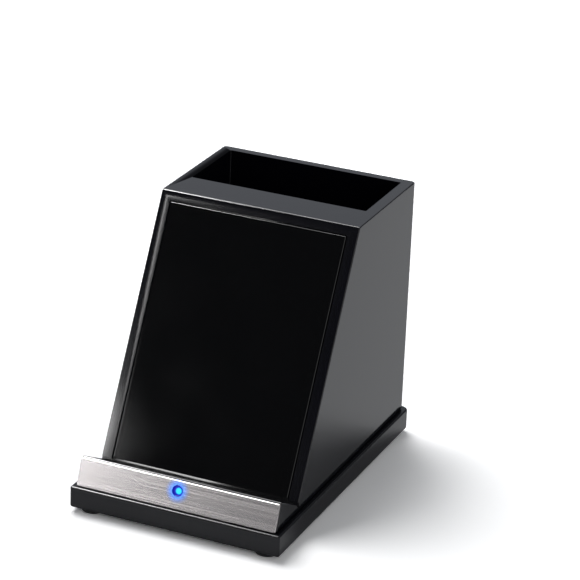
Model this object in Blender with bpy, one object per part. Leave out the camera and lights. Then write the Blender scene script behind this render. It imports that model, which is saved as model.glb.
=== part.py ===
# Wireless charger pen holder: a wedge-shaped moulded housing on a low plinth.
# The sloping front charges a phone that stands on the ledge, and the back is a deep pen cup.
# Metres, +Z up, the front towards -Y. The origin lies under the middle, at the feet's soles.
import math

import bmesh
import bpy
from mathutils import Matrix, Vector

# Fits that every piece shares
GAP = 0.0003              # between a piece and its seat
GROOVE = 0.0005           # visible groove round an insert
OVERRUN = 0.0040          # how far a cutter runs past the faces it opens

# Plinth
PLINTH_WIDTH = 0.0900
PLINTH_HEIGHT = 0.0090
PLINTH_WALL = 0.0044
PLINTH_FLOOR = 0.0022
PLINTH_FRONT_RADIUS = 0.0008
PLINTH_BACK_RADIUS = 0.0031
PLINTH_EDGE = 0.0011
PLINTH_RIB_WIDTH = 0.0012
PLINTH_RIB_HEIGHT = 0.0022
PLINTH_RIB_SPREAD = 0.0380
PLINTH_CROSS_RIB_SHARES = (-0.22, 0.04)    # of the depth, from the middle

# Feet
FOOT_RADIUS = 0.0049
FOOT_PROUD = 0.0020
FOOT_SUNK = 0.0008
FOOT_SIDE_INSET = 0.0075      # from the plinth's sides to the foot's middle
FOOT_END_INSET = 0.0062       # from its front and back
FOOT_EDGE = 0.0006

# Housing
BODY_INSET = 0.0022       # the plinth stands this far proud
BODY_RISE = 0.1011        # from the plinth's deck to the rim
BODY_WALL = 0.0020
BODY_BACK_RADIUS = 0.0016
BODY_EDGE = 0.0005
ROOF = 0.0024
PANEL_LEAN = math.radians(27.0)     # from the vertical
LIP_LEAN = math.radians(20.0)
LIP_SETBACK = 0.0023      # from the plinth's front to the lip's foot
VALLEY_RISE = 0.0033      # foot of the sloping front above the deck
VALLEY_GROOVE = 0.0009
LEDGE_DEPTH = 0.0176
RAIL_WIDTH = 0.0044       # side rails beside the inserts
RAIL_THICKNESS = 0.0043   # housing behind the rails' face
REBATE_SHELF = 0.0031     # width of the shelf that carries the charge panel
WINDOW_RADIUS = 0.0016
TAB_LENGTH = 0.0100
TAB_SPREAD = 0.0330       # between the two tabs of a side
TAB_THICKNESS = 0.0011
TAB_DROP = 0.0018

# Pen cup
CUP_SIDE = 0.0048         # rim beside the cup
CUP_BACK = 0.0041         # rim behind the cup
CUP_SPAN = 0.0367         # of its opening, from front to back
CUP_WALL = 0.0018
CUP_FLOOR = 0.0020
RIM_LAND = 0.0172         # flat top between the sloping front and the cup
CUP_RADIUS = 0.0006
CORE_RIB = 0.0012         # rib between the slots that core out the thick side walls
CORE_TOP = 0.0060         # solid stretch above those slots
CORE_COUNT = 3
STIFFENER_SPREAD = 0.0440
STIFFENER_WIDTH = 0.0012
STIFFENER_DEPTH = 0.0050
STIFFENER_FOOT = 0.0180

# Charge panel and ledge pad
PANEL_THICKNESS = 0.0020
PANEL_BORDER = 0.0044     # housing left above it
PANEL_EDGE = 0.0004
PAD_THICKNESS = 0.0012
PAD_LIP = 0.0008          # housing left in front of it
LEDGE_SKIN = 0.0014       # housing left under it
PAD_EDGE = 0.0003

# Brushed trim plate and its lamp
TRIM_THICKNESS = 0.0010
TRIM_SHORT = 0.0007       # lip left bare above it
TRIM_SIDE = 0.0002        # short of the housing's side
TRIM_DROP = 0.0002        # below the lip's foot
TRIM_CORNER = 0.0004
TRIM_EDGE = 0.0002
LENS_RADIUS = 0.0020
LENS_PROUD = 0.0006
LENS_TAIL = 0.0006        # behind the lip's wall
LENS_DOME_SHARES = ((0.8, 0.6), (0.45, 0.9), (0, 1))    # of its radius and of what stands proud
LAMP_WIDTH = 0.0020
LAMP_HEIGHT = 0.0016
LAMP_THICKNESS = 0.0010
LAMP_BOARD_WIDTH = 0.0180
LAMP_BOARD_TOP = 0.0009   # above the lamp's middle
LAMP_BOARD_HEIGHT = 0.0068
LAMP_BOARD_THICKNESS = 0.0009
LAMP_BOSS_RADIUS = 0.0018
LAMP_BOSS_SPREAD = 0.0130
LAMP_BOSS_DROP = 0.0036   # below the lamp's middle

# Coils, ferrite and their carrier, all measured up and down the sloping front
COIL_WIRE = 0.0010
COIL_PITCH = 0.0015
COIL_TURNS = 7
COIL_POINTS = 24          # per turn
COIL_INNER_RADIUS = 0.0112
COIL_SPACING = 0.0270
FERRITE_MARGIN = 0.0024   # round the two coils
FERRITE_THICKNESS = 0.0008
FERRITE_RADIUS = 0.0040
CARRIER_THICKNESS = 0.0016
CARRIER_SHORT = 0.0019    # of the window, at each end
CARRIER_REACH = 0.0024    # beyond the window's side
CARRIER_RADIUS = 0.0015
CARRIER_WINDOW = 0.0060   # radius of the hole behind each coil
CARRIER_SCREW_IN = 0.0050     # from the window's side
CARRIER_SCREW_END = 0.0038    # from the carrier's end
CARRIER_BOSS_RADIUS = 0.0025

# Main board and what it carries
BOARD_CLEAR = 0.0009      # from its sides to the rear housing bosses
BOARD_SETBACK = 0.0042    # its front edge behind the cup's front
BOARD_HEADROOM = 0.0015   # from the inlet to the cup's underside
BOARD_THICKNESS = 0.0016
BOARD_RADIUS = 0.0010
BOARD_SCREW_INSET = 0.0032
BOARD_BOSS_RADIUS = 0.0024
USB_WIDTH = 0.00894
USB_HEIGHT = 0.00326
USB_DEPTH = 0.0073
USB_WALL = 0.00035
USB_SUNK = 0.0006         # mouth behind the housing's back
USB_RISE = 0.0039         # middle above the deck
USB_MARGIN = 0.0011       # rim sunk round the mouth
USB_TONGUE_WIDTH = 0.0066
USB_TONGUE_THICKNESS = 0.0007
USB_TONGUE_LENGTH = 0.0046
USB_BLOCK_DEPTH = 0.0014
INDUCTOR_SIDE = 0.0068
INDUCTOR_HEIGHT = 0.0030
INDUCTOR_EDGE = 0.0012
CONTROLLER_SIDE = 0.0060
CHIP_HEIGHT = 0.0009
CHIP_EDGE = 0.00015
BRIDGE_WIDTH = 0.0050
BRIDGE_DEPTH = 0.0060
CAPACITOR_WIDTH = 0.0045
CAPACITOR_DEPTH = 0.0032
CAPACITOR_HEIGHT = 0.0022
CAPACITOR_EDGE = 0.0003
HEADER_DEPTH = 0.0040
HEADER_HEIGHT = 0.0032
HEADER_EDGE = 0.0002
COIL_HEADER_WIDTH = 0.0070
LAMP_HEADER_WIDTH = 0.0050
COIL_LEAD_RADIUS = 0.0011
LAMP_LEAD_RADIUS = 0.0007
LEAD_POINTS = 36
LEAD_BOW = 0.0060         # straight run where a lead leaves its seat
COIL_LEAD_SHARE = 0.33    # of the way back where the coils' leads reach the tray
LAMP_LEAD_SHARES = (0.3, 0.8)    # of the sideways run, under the valley and half way back

# Places on the main board, as shares of its width and depth from its middle
HEADER_SHARE = 0.22
CHIP_SHARES = {"controller_chip": (0.0, -0.06)}
BRIDGE_SHARES = {"bridge_chip_left": (-0.17, 0.10), "bridge_chip_right": (0.17, 0.10)}
INDUCTOR_SHARES = {"power_inductor": (-0.33, 0.06)}
CAPACITOR_SHARES = {
    "capacitor_front": (0.36, -0.18), "capacitor_middle": (0.36, 0.0), "capacitor_rear": (0.36, 0.18),
}

# Screws: a large one holds the tray, small ones hold boards and carrier
HOUSING_SCREW_RADIUS = 0.0014
HOUSING_HEAD_RADIUS = 0.0027
HOUSING_HEAD_HEIGHT = 0.0011
HOUSING_SCREW_LENGTH = 0.0095
HOUSING_BOSS_RADIUS = 0.0033
HOUSING_BOSS_DROP = 0.0030    # below the deck
HOUSING_BOSS_FRONT = 0.0130   # from the plinth's front to the front pair
HOUSING_BOSS_FRONT_IN = 0.0180    # from the plinth's side to it
HOUSING_BOSS_BACK = 0.0190    # from the plinth's back to the rear pair
HOUSING_BOSS_BACK_IN = 0.0108
SMALL_SCREW_RADIUS = 0.0008
SMALL_HEAD_RADIUS = 0.0016
SMALL_HEAD_HEIGHT = 0.0008
SMALL_SCREW_LENGTH = 0.0036
SCREW_POINT = 0.0006

# Facets
CORNER_STEPS = 4
SLOT_STEPS = 6
ROUND_SIDES = 24
SCREW_SIDES = 12
SHARP_ANGLE = math.radians(35.0)

# Places worked out from the sizes above
UP_PANEL = Vector((math.sin(PANEL_LEAN), math.cos(PANEL_LEAN)))
OFF_PANEL = Vector((-math.cos(PANEL_LEAN), math.sin(PANEL_LEAN)))
UP_LIP = Vector((math.sin(LIP_LEAN), math.cos(LIP_LEAN)))
OFF_LIP = Vector((-math.cos(LIP_LEAN), math.sin(LIP_LEAN)))
LIP_LENGTH = (VALLEY_RISE + LEDGE_DEPTH * OFF_PANEL.y - GAP) / UP_LIP.y
PANEL_LENGTH = (BODY_RISE - VALLEY_RISE) / UP_PANEL.y
LEDGE_RUN = LIP_SETBACK + LIP_LENGTH * UP_LIP.x - LEDGE_DEPTH * OFF_PANEL.x
PLINTH_DEPTH = (
    LEDGE_RUN + PANEL_LENGTH * UP_PANEL.x + RIM_LAND + CUP_SPAN + CUP_BACK + BODY_INSET
)
FRONT = -PLINTH_DEPTH / 2
DECK = FOOT_PROUD + PLINTH_HEIGHT
SEAM = DECK + GAP
RIM = DECK + BODY_RISE
VALLEY = Vector((FRONT + LEDGE_RUN, DECK + VALLEY_RISE))
LIP_TOP = VALLEY + OFF_PANEL * LEDGE_DEPTH
LIP_FOOT = LIP_TOP - UP_LIP * LIP_LENGTH
BODY_HALF = PLINTH_WIDTH / 2 - BODY_INSET
BODY_BACK = PLINTH_DEPTH / 2 - BODY_INSET
INSERT_HALF = BODY_HALF - RAIL_WIDTH - GROOVE
INSERT_START = VALLEY_GROOVE + GAP
LEDGE_WALL = PAD_THICKNESS + GAP + LEDGE_SKIN
PANEL_END = PANEL_LENGTH - PANEL_BORDER
WINDOW_HALF = INSERT_HALF + GROOVE - REBATE_SHELF
WINDOW_LOW = INSERT_START + REBATE_SHELF
WINDOW_HIGH = PANEL_END - REBATE_SHELF
CUP_HALF = BODY_HALF - CUP_SIDE
CUP_BACK_Y = BODY_BACK - CUP_BACK
CUP_FRONT_Y = CUP_BACK_Y - CUP_SPAN
UNDER_CUP = DECK + USB_RISE + USB_HEIGHT / 2 + BOARD_HEADROOM
CUP_FLOOR_Z = UNDER_CUP + CUP_FLOOR
COIL_RADIUS = COIL_INNER_RADIUS + COIL_PITCH * COIL_TURNS + COIL_WIRE / 2
COIL_MIDDLES = tuple(
    (WINDOW_LOW + WINDOW_HIGH) / 2 + side * COIL_SPACING / 2 for side in (-1, 1)
)
COIL_FRONT_Z = -PANEL_THICKNESS - GAP - COIL_WIRE / 2
COIL_REAR_Z = COIL_FRONT_Z - COIL_WIRE - GAP
FERRITE_FRONT_Z = COIL_REAR_Z - COIL_WIRE / 2 - GAP
CARRIER_FRONT_Z = FERRITE_FRONT_Z - FERRITE_THICKNESS - GAP
CARRIER_BACK_Z = CARRIER_FRONT_Z - CARRIER_THICKNESS
CARRIER_LOW = WINDOW_LOW + CARRIER_SHORT
CARRIER_HIGH = WINDOW_HIGH - CARRIER_SHORT
BOARD_TOP = DECK + USB_RISE - USB_HEIGHT / 2 - GAP
BOARD_BACK_Y = BODY_BACK - BODY_WALL - GAP * 2
BOARD_FRONT_Y = CUP_FRONT_Y + BOARD_SETBACK
BOARD_DEPTH = BOARD_BACK_Y - BOARD_FRONT_Y
BOARD_WIDTH = PLINTH_WIDTH - (HOUSING_BOSS_BACK_IN + HOUSING_BOSS_RADIUS + BOARD_CLEAR) * 2
BOSS_ROWS = (
    (PLINTH_WIDTH / 2 - HOUSING_BOSS_FRONT_IN, FRONT + HOUSING_BOSS_FRONT),
    (PLINTH_WIDTH / 2 - HOUSING_BOSS_BACK_IN, -FRONT - HOUSING_BOSS_BACK),
)
BOSS_PLACES = tuple((side * x, y) for x, y in BOSS_ROWS for side in (-1, 1))
LAMP_BACK_Z = -BODY_WALL - LENS_TAIL - GAP - LAMP_THICKNESS
LAMP_BOARD_Z = LAMP_BACK_Z - GAP


# Scene and materials


def clear_scene():
    for item in list(bpy.data.objects):
        bpy.data.objects.remove(item, do_unlink=True)


def material(name, colour, roughness, metallic=0.0):
    made = bpy.data.materials.new(name)
    made.use_nodes = True
    shader = made.node_tree.nodes["Principled BSDF"]
    shader.inputs["Base Color"].default_value = (*colour, 1.0)
    shader.inputs["Roughness"].default_value = roughness
    shader.inputs["Metallic"].default_value = metallic
    made.diffuse_color = (*colour, 1.0)
    return made


# Outlines


def arc(centre, radius, start, end, steps=CORNER_STEPS):
    angles = [start + (end - start) * step / steps for step in range(steps + 1)]
    return [Vector((centre[0] + radius * math.cos(a), centre[1] + radius * math.sin(a))) for a in angles]


def rounded(x_low, x_high, y_low, y_high, low_radius, high_radius=None, steps=CORNER_STEPS):
    """Rectangle with one radius at its low-Y corners and one at its high-Y corners."""
    top = low_radius if high_radius is None else high_radius
    quarter = math.pi / 2
    return (
        arc((x_high - low_radius, y_low + low_radius), low_radius, -quarter, 0, steps)
        + arc((x_high - top, y_high - top), top, 0, quarter, steps)
        + arc((x_low + top, y_high - top), top, quarter, 2 * quarter, steps)
        + arc((x_low + low_radius, y_low + low_radius), low_radius, 2 * quarter, 3 * quarter, steps)
    )


def box_outline(x_low, x_high, y_low, y_high):
    return [Vector(p) for p in ((x_low, y_low), (x_high, y_low), (x_high, y_high), (x_low, y_high))]


def panel_point(up, out):
    """Point in the YZ plane, measured up the sloping front and out of it."""
    return VALLEY + UP_PANEL * up + OFF_PANEL * out


def crossing(point, along, other, other_along):
    """Where two lines of the YZ plane meet."""
    cross = along.x * other_along.y - along.y * other_along.x
    reach = other - point
    return point + along * ((reach.x * other_along.y - reach.y * other_along.x) / cross)


def at_height(point, along, height):
    return point + along * ((height - point.y) / along.y)


# Solids


def add_prism(bm, outline, low, high, side_axis=False):
    """Closed prism: an XY outline raised along Z, or a YZ outline run along X."""
    def place(point, level):
        return (level, point.x, point.y) if side_axis else (point.x, point.y, level)

    lower = [bm.verts.new(place(p, low)) for p in outline]
    upper = [bm.verts.new(place(p, high)) for p in outline]
    bm.faces.new(list(reversed(lower)))
    bm.faces.new(upper)
    for first in range(len(outline)):
        second = (first + 1) % len(outline)
        bm.faces.new((lower[first], lower[second], upper[second], upper[first]))


def add_turned(bm, profile, sides, centre=(0, 0)):
    """Closed turned body: (radius, height) pairs from the lower pole to the upper one."""
    rings = []
    for radius, height in profile:
        if radius == 0:
            rings.append([bm.verts.new((centre[0], centre[1], height))])
            continue
        rings.append([
            bm.verts.new((
                centre[0] + radius * math.cos(2 * math.pi * side / sides),
                centre[1] + radius * math.sin(2 * math.pi * side / sides),
                height,
            ))
            for side in range(sides)
        ])
    for lower, upper in zip(rings, rings[1:]):
        for side in range(sides):
            after = (side + 1) % sides
            if len(lower) == 1:
                bm.faces.new((lower[0], upper[after], upper[side]))
            elif len(upper) == 1:
                bm.faces.new((lower[side], lower[after], upper[0]))
            else:
                bm.faces.new((lower[side], lower[after], upper[after], upper[side]))
    for ring, downward in ((rings[0], True), (rings[-1], False)):
        if len(ring) > 1:
            bm.faces.new(list(reversed(ring)) if downward else ring)


def add_cylinder(bm, centre, radius, low, high, sides=ROUND_SIDES):
    add_turned(bm, [(radius, low), (radius, high)], sides, centre)


def finish(name, bm, surface=None, parent=None):
    """Makes the object, with its faces pointing outwards and its round faces shaded smooth."""
    bmesh.ops.recalc_face_normals(bm, faces=bm.faces)
    mesh = bpy.data.meshes.new(name)
    bm.to_mesh(mesh)
    bm.free()
    mesh.shade_smooth()
    mesh.set_sharp_from_angle(angle=SHARP_ANGLE)
    made = bpy.data.objects.new(name, mesh)
    bpy.context.scene.collection.objects.link(made)
    made.parent = parent
    if surface:
        mesh.materials.append(surface)
    return made


def tool(name, bm, parent=None):
    """A hidden solid that cuts or adds to another one."""
    made = finish(name, bm, None, parent)
    made.hide_render = True
    made.display_type = "WIRE"
    return made


def combine(target, other, operation="DIFFERENCE"):
    step = target.modifiers.new(other.name, "BOOLEAN")
    step.solver = "EXACT"
    step.operation = operation
    step.object = other


def soften(target, width, segments=1):
    step = target.modifiers.new("edge", "BEVEL")
    step.width = width
    step.segments = segments
    step.limit_method = "ANGLE"
    step.angle_limit = SHARP_ANGLE
    step.use_clamp_overlap = True


def frame_empty(name, origin, turn):
    """Empty on the YZ plane whose Z axis points out of a leaning face and whose Y runs up it."""
    made = bpy.data.objects.new(name, None)
    bpy.context.scene.collection.objects.link(made)
    made.matrix_world = Matrix.Translation((0, origin.x, origin.y)) @ Matrix.Rotation(turn, 4, "X")
    return made


def lens_up():
    """Height of the lens up the lip, with its board close under the ledge."""
    board_back = LIP_FOOT + OFF_LIP * (LAMP_BOARD_Z - LAMP_BOARD_THICKNESS)
    ceiling = crossing(board_back, UP_LIP, panel_point(-LEDGE_WALL, 0), OFF_PANEL)
    return (ceiling - LIP_FOOT).dot(UP_LIP) - GAP - LAMP_BOARD_TOP


# Housing


def body_outline():
    return [
        LIP_FOOT, LIP_TOP, VALLEY, panel_point(PANEL_LENGTH, 0),
        Vector((BODY_BACK, RIM)), Vector((BODY_BACK, SEAM)),
    ]


def lip_cavity():
    """Hollow behind the leaning lip and under the ledge."""
    inner_lip = LIP_FOOT - OFF_LIP * BODY_WALL
    under_ledge = panel_point(-LEDGE_WALL, 0)
    return [
        at_height(inner_lip, UP_LIP, DECK),
        crossing(inner_lip, UP_LIP, under_ledge, OFF_PANEL),
        at_height(under_ledge, OFF_PANEL, DECK),
    ]


def wedge_cavity():
    """Hollow behind the charge panel, running on under the pen cup."""
    behind_panel = panel_point(0, -RAIL_THICKNESS)
    cup_front = CUP_FRONT_Y - CUP_WALL
    return [
        at_height(behind_panel, UP_PANEL, DECK),
        at_height(behind_panel, UP_PANEL, RIM - ROOF),
        Vector((cup_front, RIM - ROOF)),
        Vector((cup_front, UNDER_CUP)),
        Vector((BODY_BACK - BODY_WALL, UNDER_CUP)),
        Vector((BODY_BACK - BODY_WALL, DECK)),
    ]


def cored_slots(bm):
    """Slots from below that thin the walls beside the cup, with ribs left between them."""
    inner = CUP_HALF + CUP_WALL
    outer = BODY_HALF - BODY_WALL
    run = (CUP_SPAN - CORE_RIB * (CORE_COUNT - 1)) / CORE_COUNT
    for index in range(CORE_COUNT):
        start = CUP_FRONT_Y + index * (run + CORE_RIB)
        for side in (-1, 1):
            low, high = sorted((side * inner, side * outer))
            outline = box_outline(low, high, start, start + run)
            add_prism(bm, outline, UNDER_CUP - GAP, RIM - CORE_TOP)


def housing_bosses(bm):
    """Front pair up to the ledge's lowest point over them, rear pair into the cup's floor."""
    for place in BOSS_PLACES:
        top = UNDER_CUP + CUP_FLOOR / 2
        if place[1] < VALLEY.x:
            top = VALLEY.y + (VALLEY.x - place[1] - HOUSING_BOSS_RADIUS) * math.tan(PANEL_LEAN)
        add_cylinder(bm, place, HOUSING_BOSS_RADIUS, DECK - HOUSING_BOSS_DROP, top)


def board_screw_places():
    x = BOARD_WIDTH / 2 - BOARD_SCREW_INSET
    ys = (BOARD_FRONT_Y + BOARD_SCREW_INSET, BOARD_BACK_Y - BOARD_SCREW_INSET)
    return [(side * x, y) for y in ys for side in (-1, 1)]


def board_bosses(bm):
    for place in board_screw_places():
        add_cylinder(bm, place, BOARD_BOSS_RADIUS, BOARD_TOP + GAP, UNDER_CUP + CUP_FLOOR / 2, SCREW_SIDES)


def cup_stiffeners(bm):
    """Two ribs down the hidden face of the cup's front wall."""
    back = CUP_FRONT_Y - CUP_WALL / 2
    for side in (-1, 1):
        x = side * STIFFENER_SPREAD / 2
        front = back - CUP_WALL / 2 - STIFFENER_DEPTH
        outline = box_outline(x - STIFFENER_WIDTH / 2, x + STIFFENER_WIDTH / 2, front, back)
        add_prism(bm, outline, UNDER_CUP + STIFFENER_FOOT, RIM - ROOF / 2)


def locating_tabs(bm):
    """Tabs below the side walls that drop inside the plinth's walls."""
    wall = PLINTH_WIDTH / 2 - PLINTH_WALL - GAP
    root = BODY_HALF - BODY_WALL / 2
    inner = wall - TAB_THICKNESS
    shoulder = SEAM + TAB_THICKNESS
    profile = [(inner, DECK - TAB_DROP), (wall, DECK - TAB_DROP), (wall, SEAM + GAP),
               (root, SEAM + GAP), (root, shoulder), (inner, shoulder)]
    middles = (-TAB_SPREAD / 2, TAB_SPREAD / 2)
    for side in (-1, 1):
        for middle in middles:
            made = []
            for y in (middle - TAB_LENGTH / 2, middle + TAB_LENGTH / 2):
                made.append([bm.verts.new((side * x, y, z)) for x, z in profile])
            near, far = made
            bm.faces.new(near)
            bm.faces.new(list(reversed(far)))
            for first in range(len(profile)):
                second = (first + 1) % len(profile)
                bm.faces.new((near[second], near[first], far[first], far[second]))


def build_body(surface, panel_frame, lip_frame):
    bm = bmesh.new()
    add_prism(bm, body_outline(), -BODY_HALF, BODY_HALF, side_axis=True)
    corners = [
        edge for edge in bm.edges
        if all(abs(v.co.y - BODY_BACK) < GAP for v in edge.verts)
        and abs(edge.verts[0].co.z - edge.verts[1].co.z) > BODY_RISE / 2
    ]
    bmesh.ops.bevel(bm, geom=corners, offset=BODY_BACK_RADIUS, segments=CORNER_STEPS, profile=0.5,
                    affect="EDGES", clamp_overlap=True)
    body = finish("body_shell", bm, surface)
    soften(body, BODY_EDGE, segments=2)

    bm = bmesh.new()
    inside = BODY_HALF - BODY_WALL
    add_prism(bm, lip_cavity(), -inside, inside, side_axis=True)
    add_prism(bm, wedge_cavity(), -inside, inside, side_axis=True)
    combine(body, tool("housing_cavity", bm))

    bm = bmesh.new()
    cored_slots(bm)
    combine(body, tool("wall_coring", bm))

    bm = bmesh.new()
    housing_bosses(bm)
    board_bosses(bm)
    cup_stiffeners(bm)
    locating_tabs(bm)
    combine(body, tool("housing_ribs_and_bosses", bm), "UNION")

    bm = bmesh.new()
    for side in (-1, 1):
        place = (side * LAMP_BOSS_SPREAD / 2, lens_up() - LAMP_BOSS_DROP)
        add_cylinder(bm, place, LAMP_BOSS_RADIUS, LAMP_BOARD_Z + GAP, -BODY_WALL / 2, SCREW_SIDES)
    combine(body, tool("lamp_board_bosses", bm, lip_frame), "UNION")

    bm = bmesh.new()
    add_prism(bm, rounded(-CUP_HALF, CUP_HALF, CUP_FRONT_Y, CUP_BACK_Y, CUP_RADIUS), CUP_FLOOR_Z,
              RIM + OVERRUN)
    combine(body, tool("pen_cup_void", bm))

    half = INSERT_HALF + GROOVE
    bm = bmesh.new()
    add_prism(bm, box_outline(-half, half, VALLEY_GROOVE / 2, PANEL_END + GROOVE),
              -PANEL_THICKNESS - GAP, OVERRUN)
    combine(body, tool("panel_rebate", bm, panel_frame))
    bm = bmesh.new()
    add_prism(bm, rounded(-WINDOW_HALF, WINDOW_HALF, WINDOW_LOW, WINDOW_HIGH, WINDOW_RADIUS),
              -RAIL_THICKNESS - OVERRUN, OVERRUN)
    combine(body, tool("panel_window", bm, panel_frame))
    bm = bmesh.new()
    recess = box_outline(-PAD_THICKNESS - GAP, OVERRUN, VALLEY_GROOVE / 2, LEDGE_DEPTH - PAD_LIP)
    add_prism(bm, recess, -half, half, side_axis=True)
    combine(body, tool("pad_recess", bm, panel_frame))
    bm = bmesh.new()
    corner = box_outline(-VALLEY_GROOVE, VALLEY_GROOVE, -VALLEY_GROOVE, VALLEY_GROOVE)
    add_prism(bm, corner, -PLINTH_WIDTH, PLINTH_WIDTH, side_axis=True)
    combine(body, tool("valley_groove", bm, panel_frame))

    bm = bmesh.new()
    add_cylinder(bm, (0, lens_up()), LENS_RADIUS + GAP, LAMP_BACK_Z - GAP, OVERRUN)
    combine(body, tool("lens_hole", bm, lip_frame))
    bm = bmesh.new()
    for side in (-1, 1):
        place = (side * LAMP_BOSS_SPREAD / 2, lens_up() - LAMP_BOSS_DROP)
        add_cylinder(bm, place, SMALL_SCREW_RADIUS + GAP, LAMP_BOARD_Z - OVERRUN,
                     LAMP_BOARD_Z - LAMP_BOARD_THICKNESS - GAP + SMALL_SCREW_LENGTH + GAP, SCREW_SIDES)
    combine(body, tool("lamp_screw_holes", bm, lip_frame))

    bm = bmesh.new()
    for place in BOSS_PLACES:
        add_cylinder(bm, place, HOUSING_SCREW_RADIUS + GAP, DECK - HOUSING_BOSS_DROP - OVERRUN,
                     screw_tip() + GAP, SCREW_SIDES)
    for place in board_screw_places():
        add_cylinder(bm, place, SMALL_SCREW_RADIUS + GAP, BOARD_TOP - GAP,
                     BOARD_TOP - BOARD_THICKNESS - GAP + SMALL_SCREW_LENGTH + GAP, SCREW_SIDES)
    combine(body, tool("screw_pilots", bm))

    inlet_z = DECK + USB_RISE
    for name, margin, depth in (("inlet_hole", GAP, OVERRUN), ("inlet_rim", USB_MARGIN, USB_SUNK)):
        bm = bmesh.new()
        half_width = USB_WIDTH / 2 + margin
        half_height = USB_HEIGHT / 2 + margin
        outline = rounded(-half_width, half_width, -half_height, half_height, half_height, steps=SLOT_STEPS)
        add_prism(bm, outline, -depth, OVERRUN)
        cutter = tool(name, bm)
        cutter.matrix_world = (
            Matrix.Translation((0, BODY_BACK, inlet_z)) @ Matrix.Rotation(-math.pi / 2, 4, "X")
        )
        combine(body, cutter)
    return body


# Plinth and feet


def screw_seat():
    """Height of the housing screws' heads' upper faces in the plinth's counterbores."""
    return FOOT_PROUD + HOUSING_HEAD_HEIGHT + GAP


def screw_tip():
    return screw_seat() + HOUSING_SCREW_LENGTH


def foot_places():
    x = PLINTH_WIDTH / 2 - FOOT_SIDE_INSET
    y = PLINTH_DEPTH / 2 - FOOT_END_INSET
    return {
        "foot_front_left": (-x, -y), "foot_front_right": (x, -y),
        "foot_rear_left": (-x, y), "foot_rear_right": (x, y),
    }


def build_tray(surface):
    half = PLINTH_WIDTH / 2
    bm = bmesh.new()
    outline = rounded(-half, half, FRONT, -FRONT, PLINTH_FRONT_RADIUS, PLINTH_BACK_RADIUS)
    add_prism(bm, outline, FOOT_PROUD, DECK)
    tray = finish("base_tray", bm, surface)
    soften(tray, PLINTH_EDGE, segments=3)

    inner = half - PLINTH_WALL
    bm = bmesh.new()
    outline = rounded(-inner, inner, FRONT + PLINTH_WALL, -FRONT - PLINTH_WALL, PLINTH_FRONT_RADIUS)
    add_prism(bm, outline, FOOT_PROUD + PLINTH_FLOOR, DECK + OVERRUN)
    combine(tray, tool("tray_cavity", bm))

    bm = bmesh.new()
    root = FOOT_PROUD + PLINTH_FLOOR / 2
    for place in BOSS_PLACES:
        add_cylinder(bm, place, HOUSING_BOSS_RADIUS, root, DECK - HOUSING_BOSS_DROP - GAP)
    combine(tray, tool("tray_bosses", bm), "UNION")

    bm = bmesh.new()
    top = FOOT_PROUD + PLINTH_FLOOR + PLINTH_RIB_HEIGHT
    for x in (-PLINTH_RIB_SPREAD / 2, PLINTH_RIB_SPREAD / 2):
        outline = box_outline(x - PLINTH_RIB_WIDTH / 2, x + PLINTH_RIB_WIDTH / 2,
                              FRONT + PLINTH_WALL / 2, -FRONT - PLINTH_WALL / 2)
        add_prism(bm, outline, root, top)
    combine(tray, tool("tray_long_ribs", bm), "UNION")
    bm = bmesh.new()
    for share in PLINTH_CROSS_RIB_SHARES:
        y = PLINTH_DEPTH * share
        outline = box_outline(-inner - PLINTH_WALL / 2, inner + PLINTH_WALL / 2,
                              y - PLINTH_RIB_WIDTH / 2, y + PLINTH_RIB_WIDTH / 2)
        add_prism(bm, outline, root, top)
    combine(tray, tool("tray_cross_ribs", bm), "UNION")

    bm = bmesh.new()
    for place in foot_places().values():
        add_cylinder(bm, place, FOOT_RADIUS + GAP, FOOT_PROUD - OVERRUN, FOOT_PROUD + FOOT_SUNK + GAP)
    head = HOUSING_HEAD_RADIUS + GAP
    shank = HOUSING_SCREW_RADIUS + GAP
    profile = [(head, FOOT_PROUD - OVERRUN), (head, screw_seat() + GAP), (shank, screw_seat() + GAP),
               (shank, DECK)]
    for place in BOSS_PLACES:
        add_turned(bm, profile, SCREW_SIDES, place)
    combine(tray, tool("foot_and_screw_seats", bm))
    return tray


def build_feet(surface):
    profile = [
        (FOOT_RADIUS - FOOT_EDGE, 0), (FOOT_RADIUS, FOOT_EDGE),
        (FOOT_RADIUS, FOOT_PROUD + FOOT_SUNK),
    ]
    for name, place in foot_places().items():
        bm = bmesh.new()
        add_turned(bm, profile, ROUND_SIDES)
        foot = finish(name, bm, surface)
        foot.location = (*place, 0)


# Screws


def screw_mesh_parts(bm, radius, head_radius, head_height, length):
    """Domed head below the seat at zero, shank and blunt point above it."""
    profile = [
        (head_radius / 2, -head_height), (head_radius, -head_height / 2), (head_radius, 0),
        (radius, 0), (radius, length - SCREW_POINT), (radius / 2, length),
    ]
    add_turned(bm, profile, SCREW_SIDES)


def build_screw(name, surface, place, small=True, parent=None):
    bm = bmesh.new()
    if small:
        screw_mesh_parts(bm, SMALL_SCREW_RADIUS, SMALL_HEAD_RADIUS, SMALL_HEAD_HEIGHT, SMALL_SCREW_LENGTH)
    else:
        screw_mesh_parts(bm, HOUSING_SCREW_RADIUS, HOUSING_HEAD_RADIUS, HOUSING_HEAD_HEIGHT,
                         HOUSING_SCREW_LENGTH)
    screw = finish(name, bm, surface, parent)
    screw.location = place
    return screw


def build_housing_screws(surface):
    names = ("housing_screw_front_left", "housing_screw_front_right",
             "housing_screw_rear_left", "housing_screw_rear_right")
    for name, place in zip(names, BOSS_PLACES):
        build_screw(name, surface, (*place, screw_seat()), small=False)


# Charge panel, ledge pad and trim plate


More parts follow.
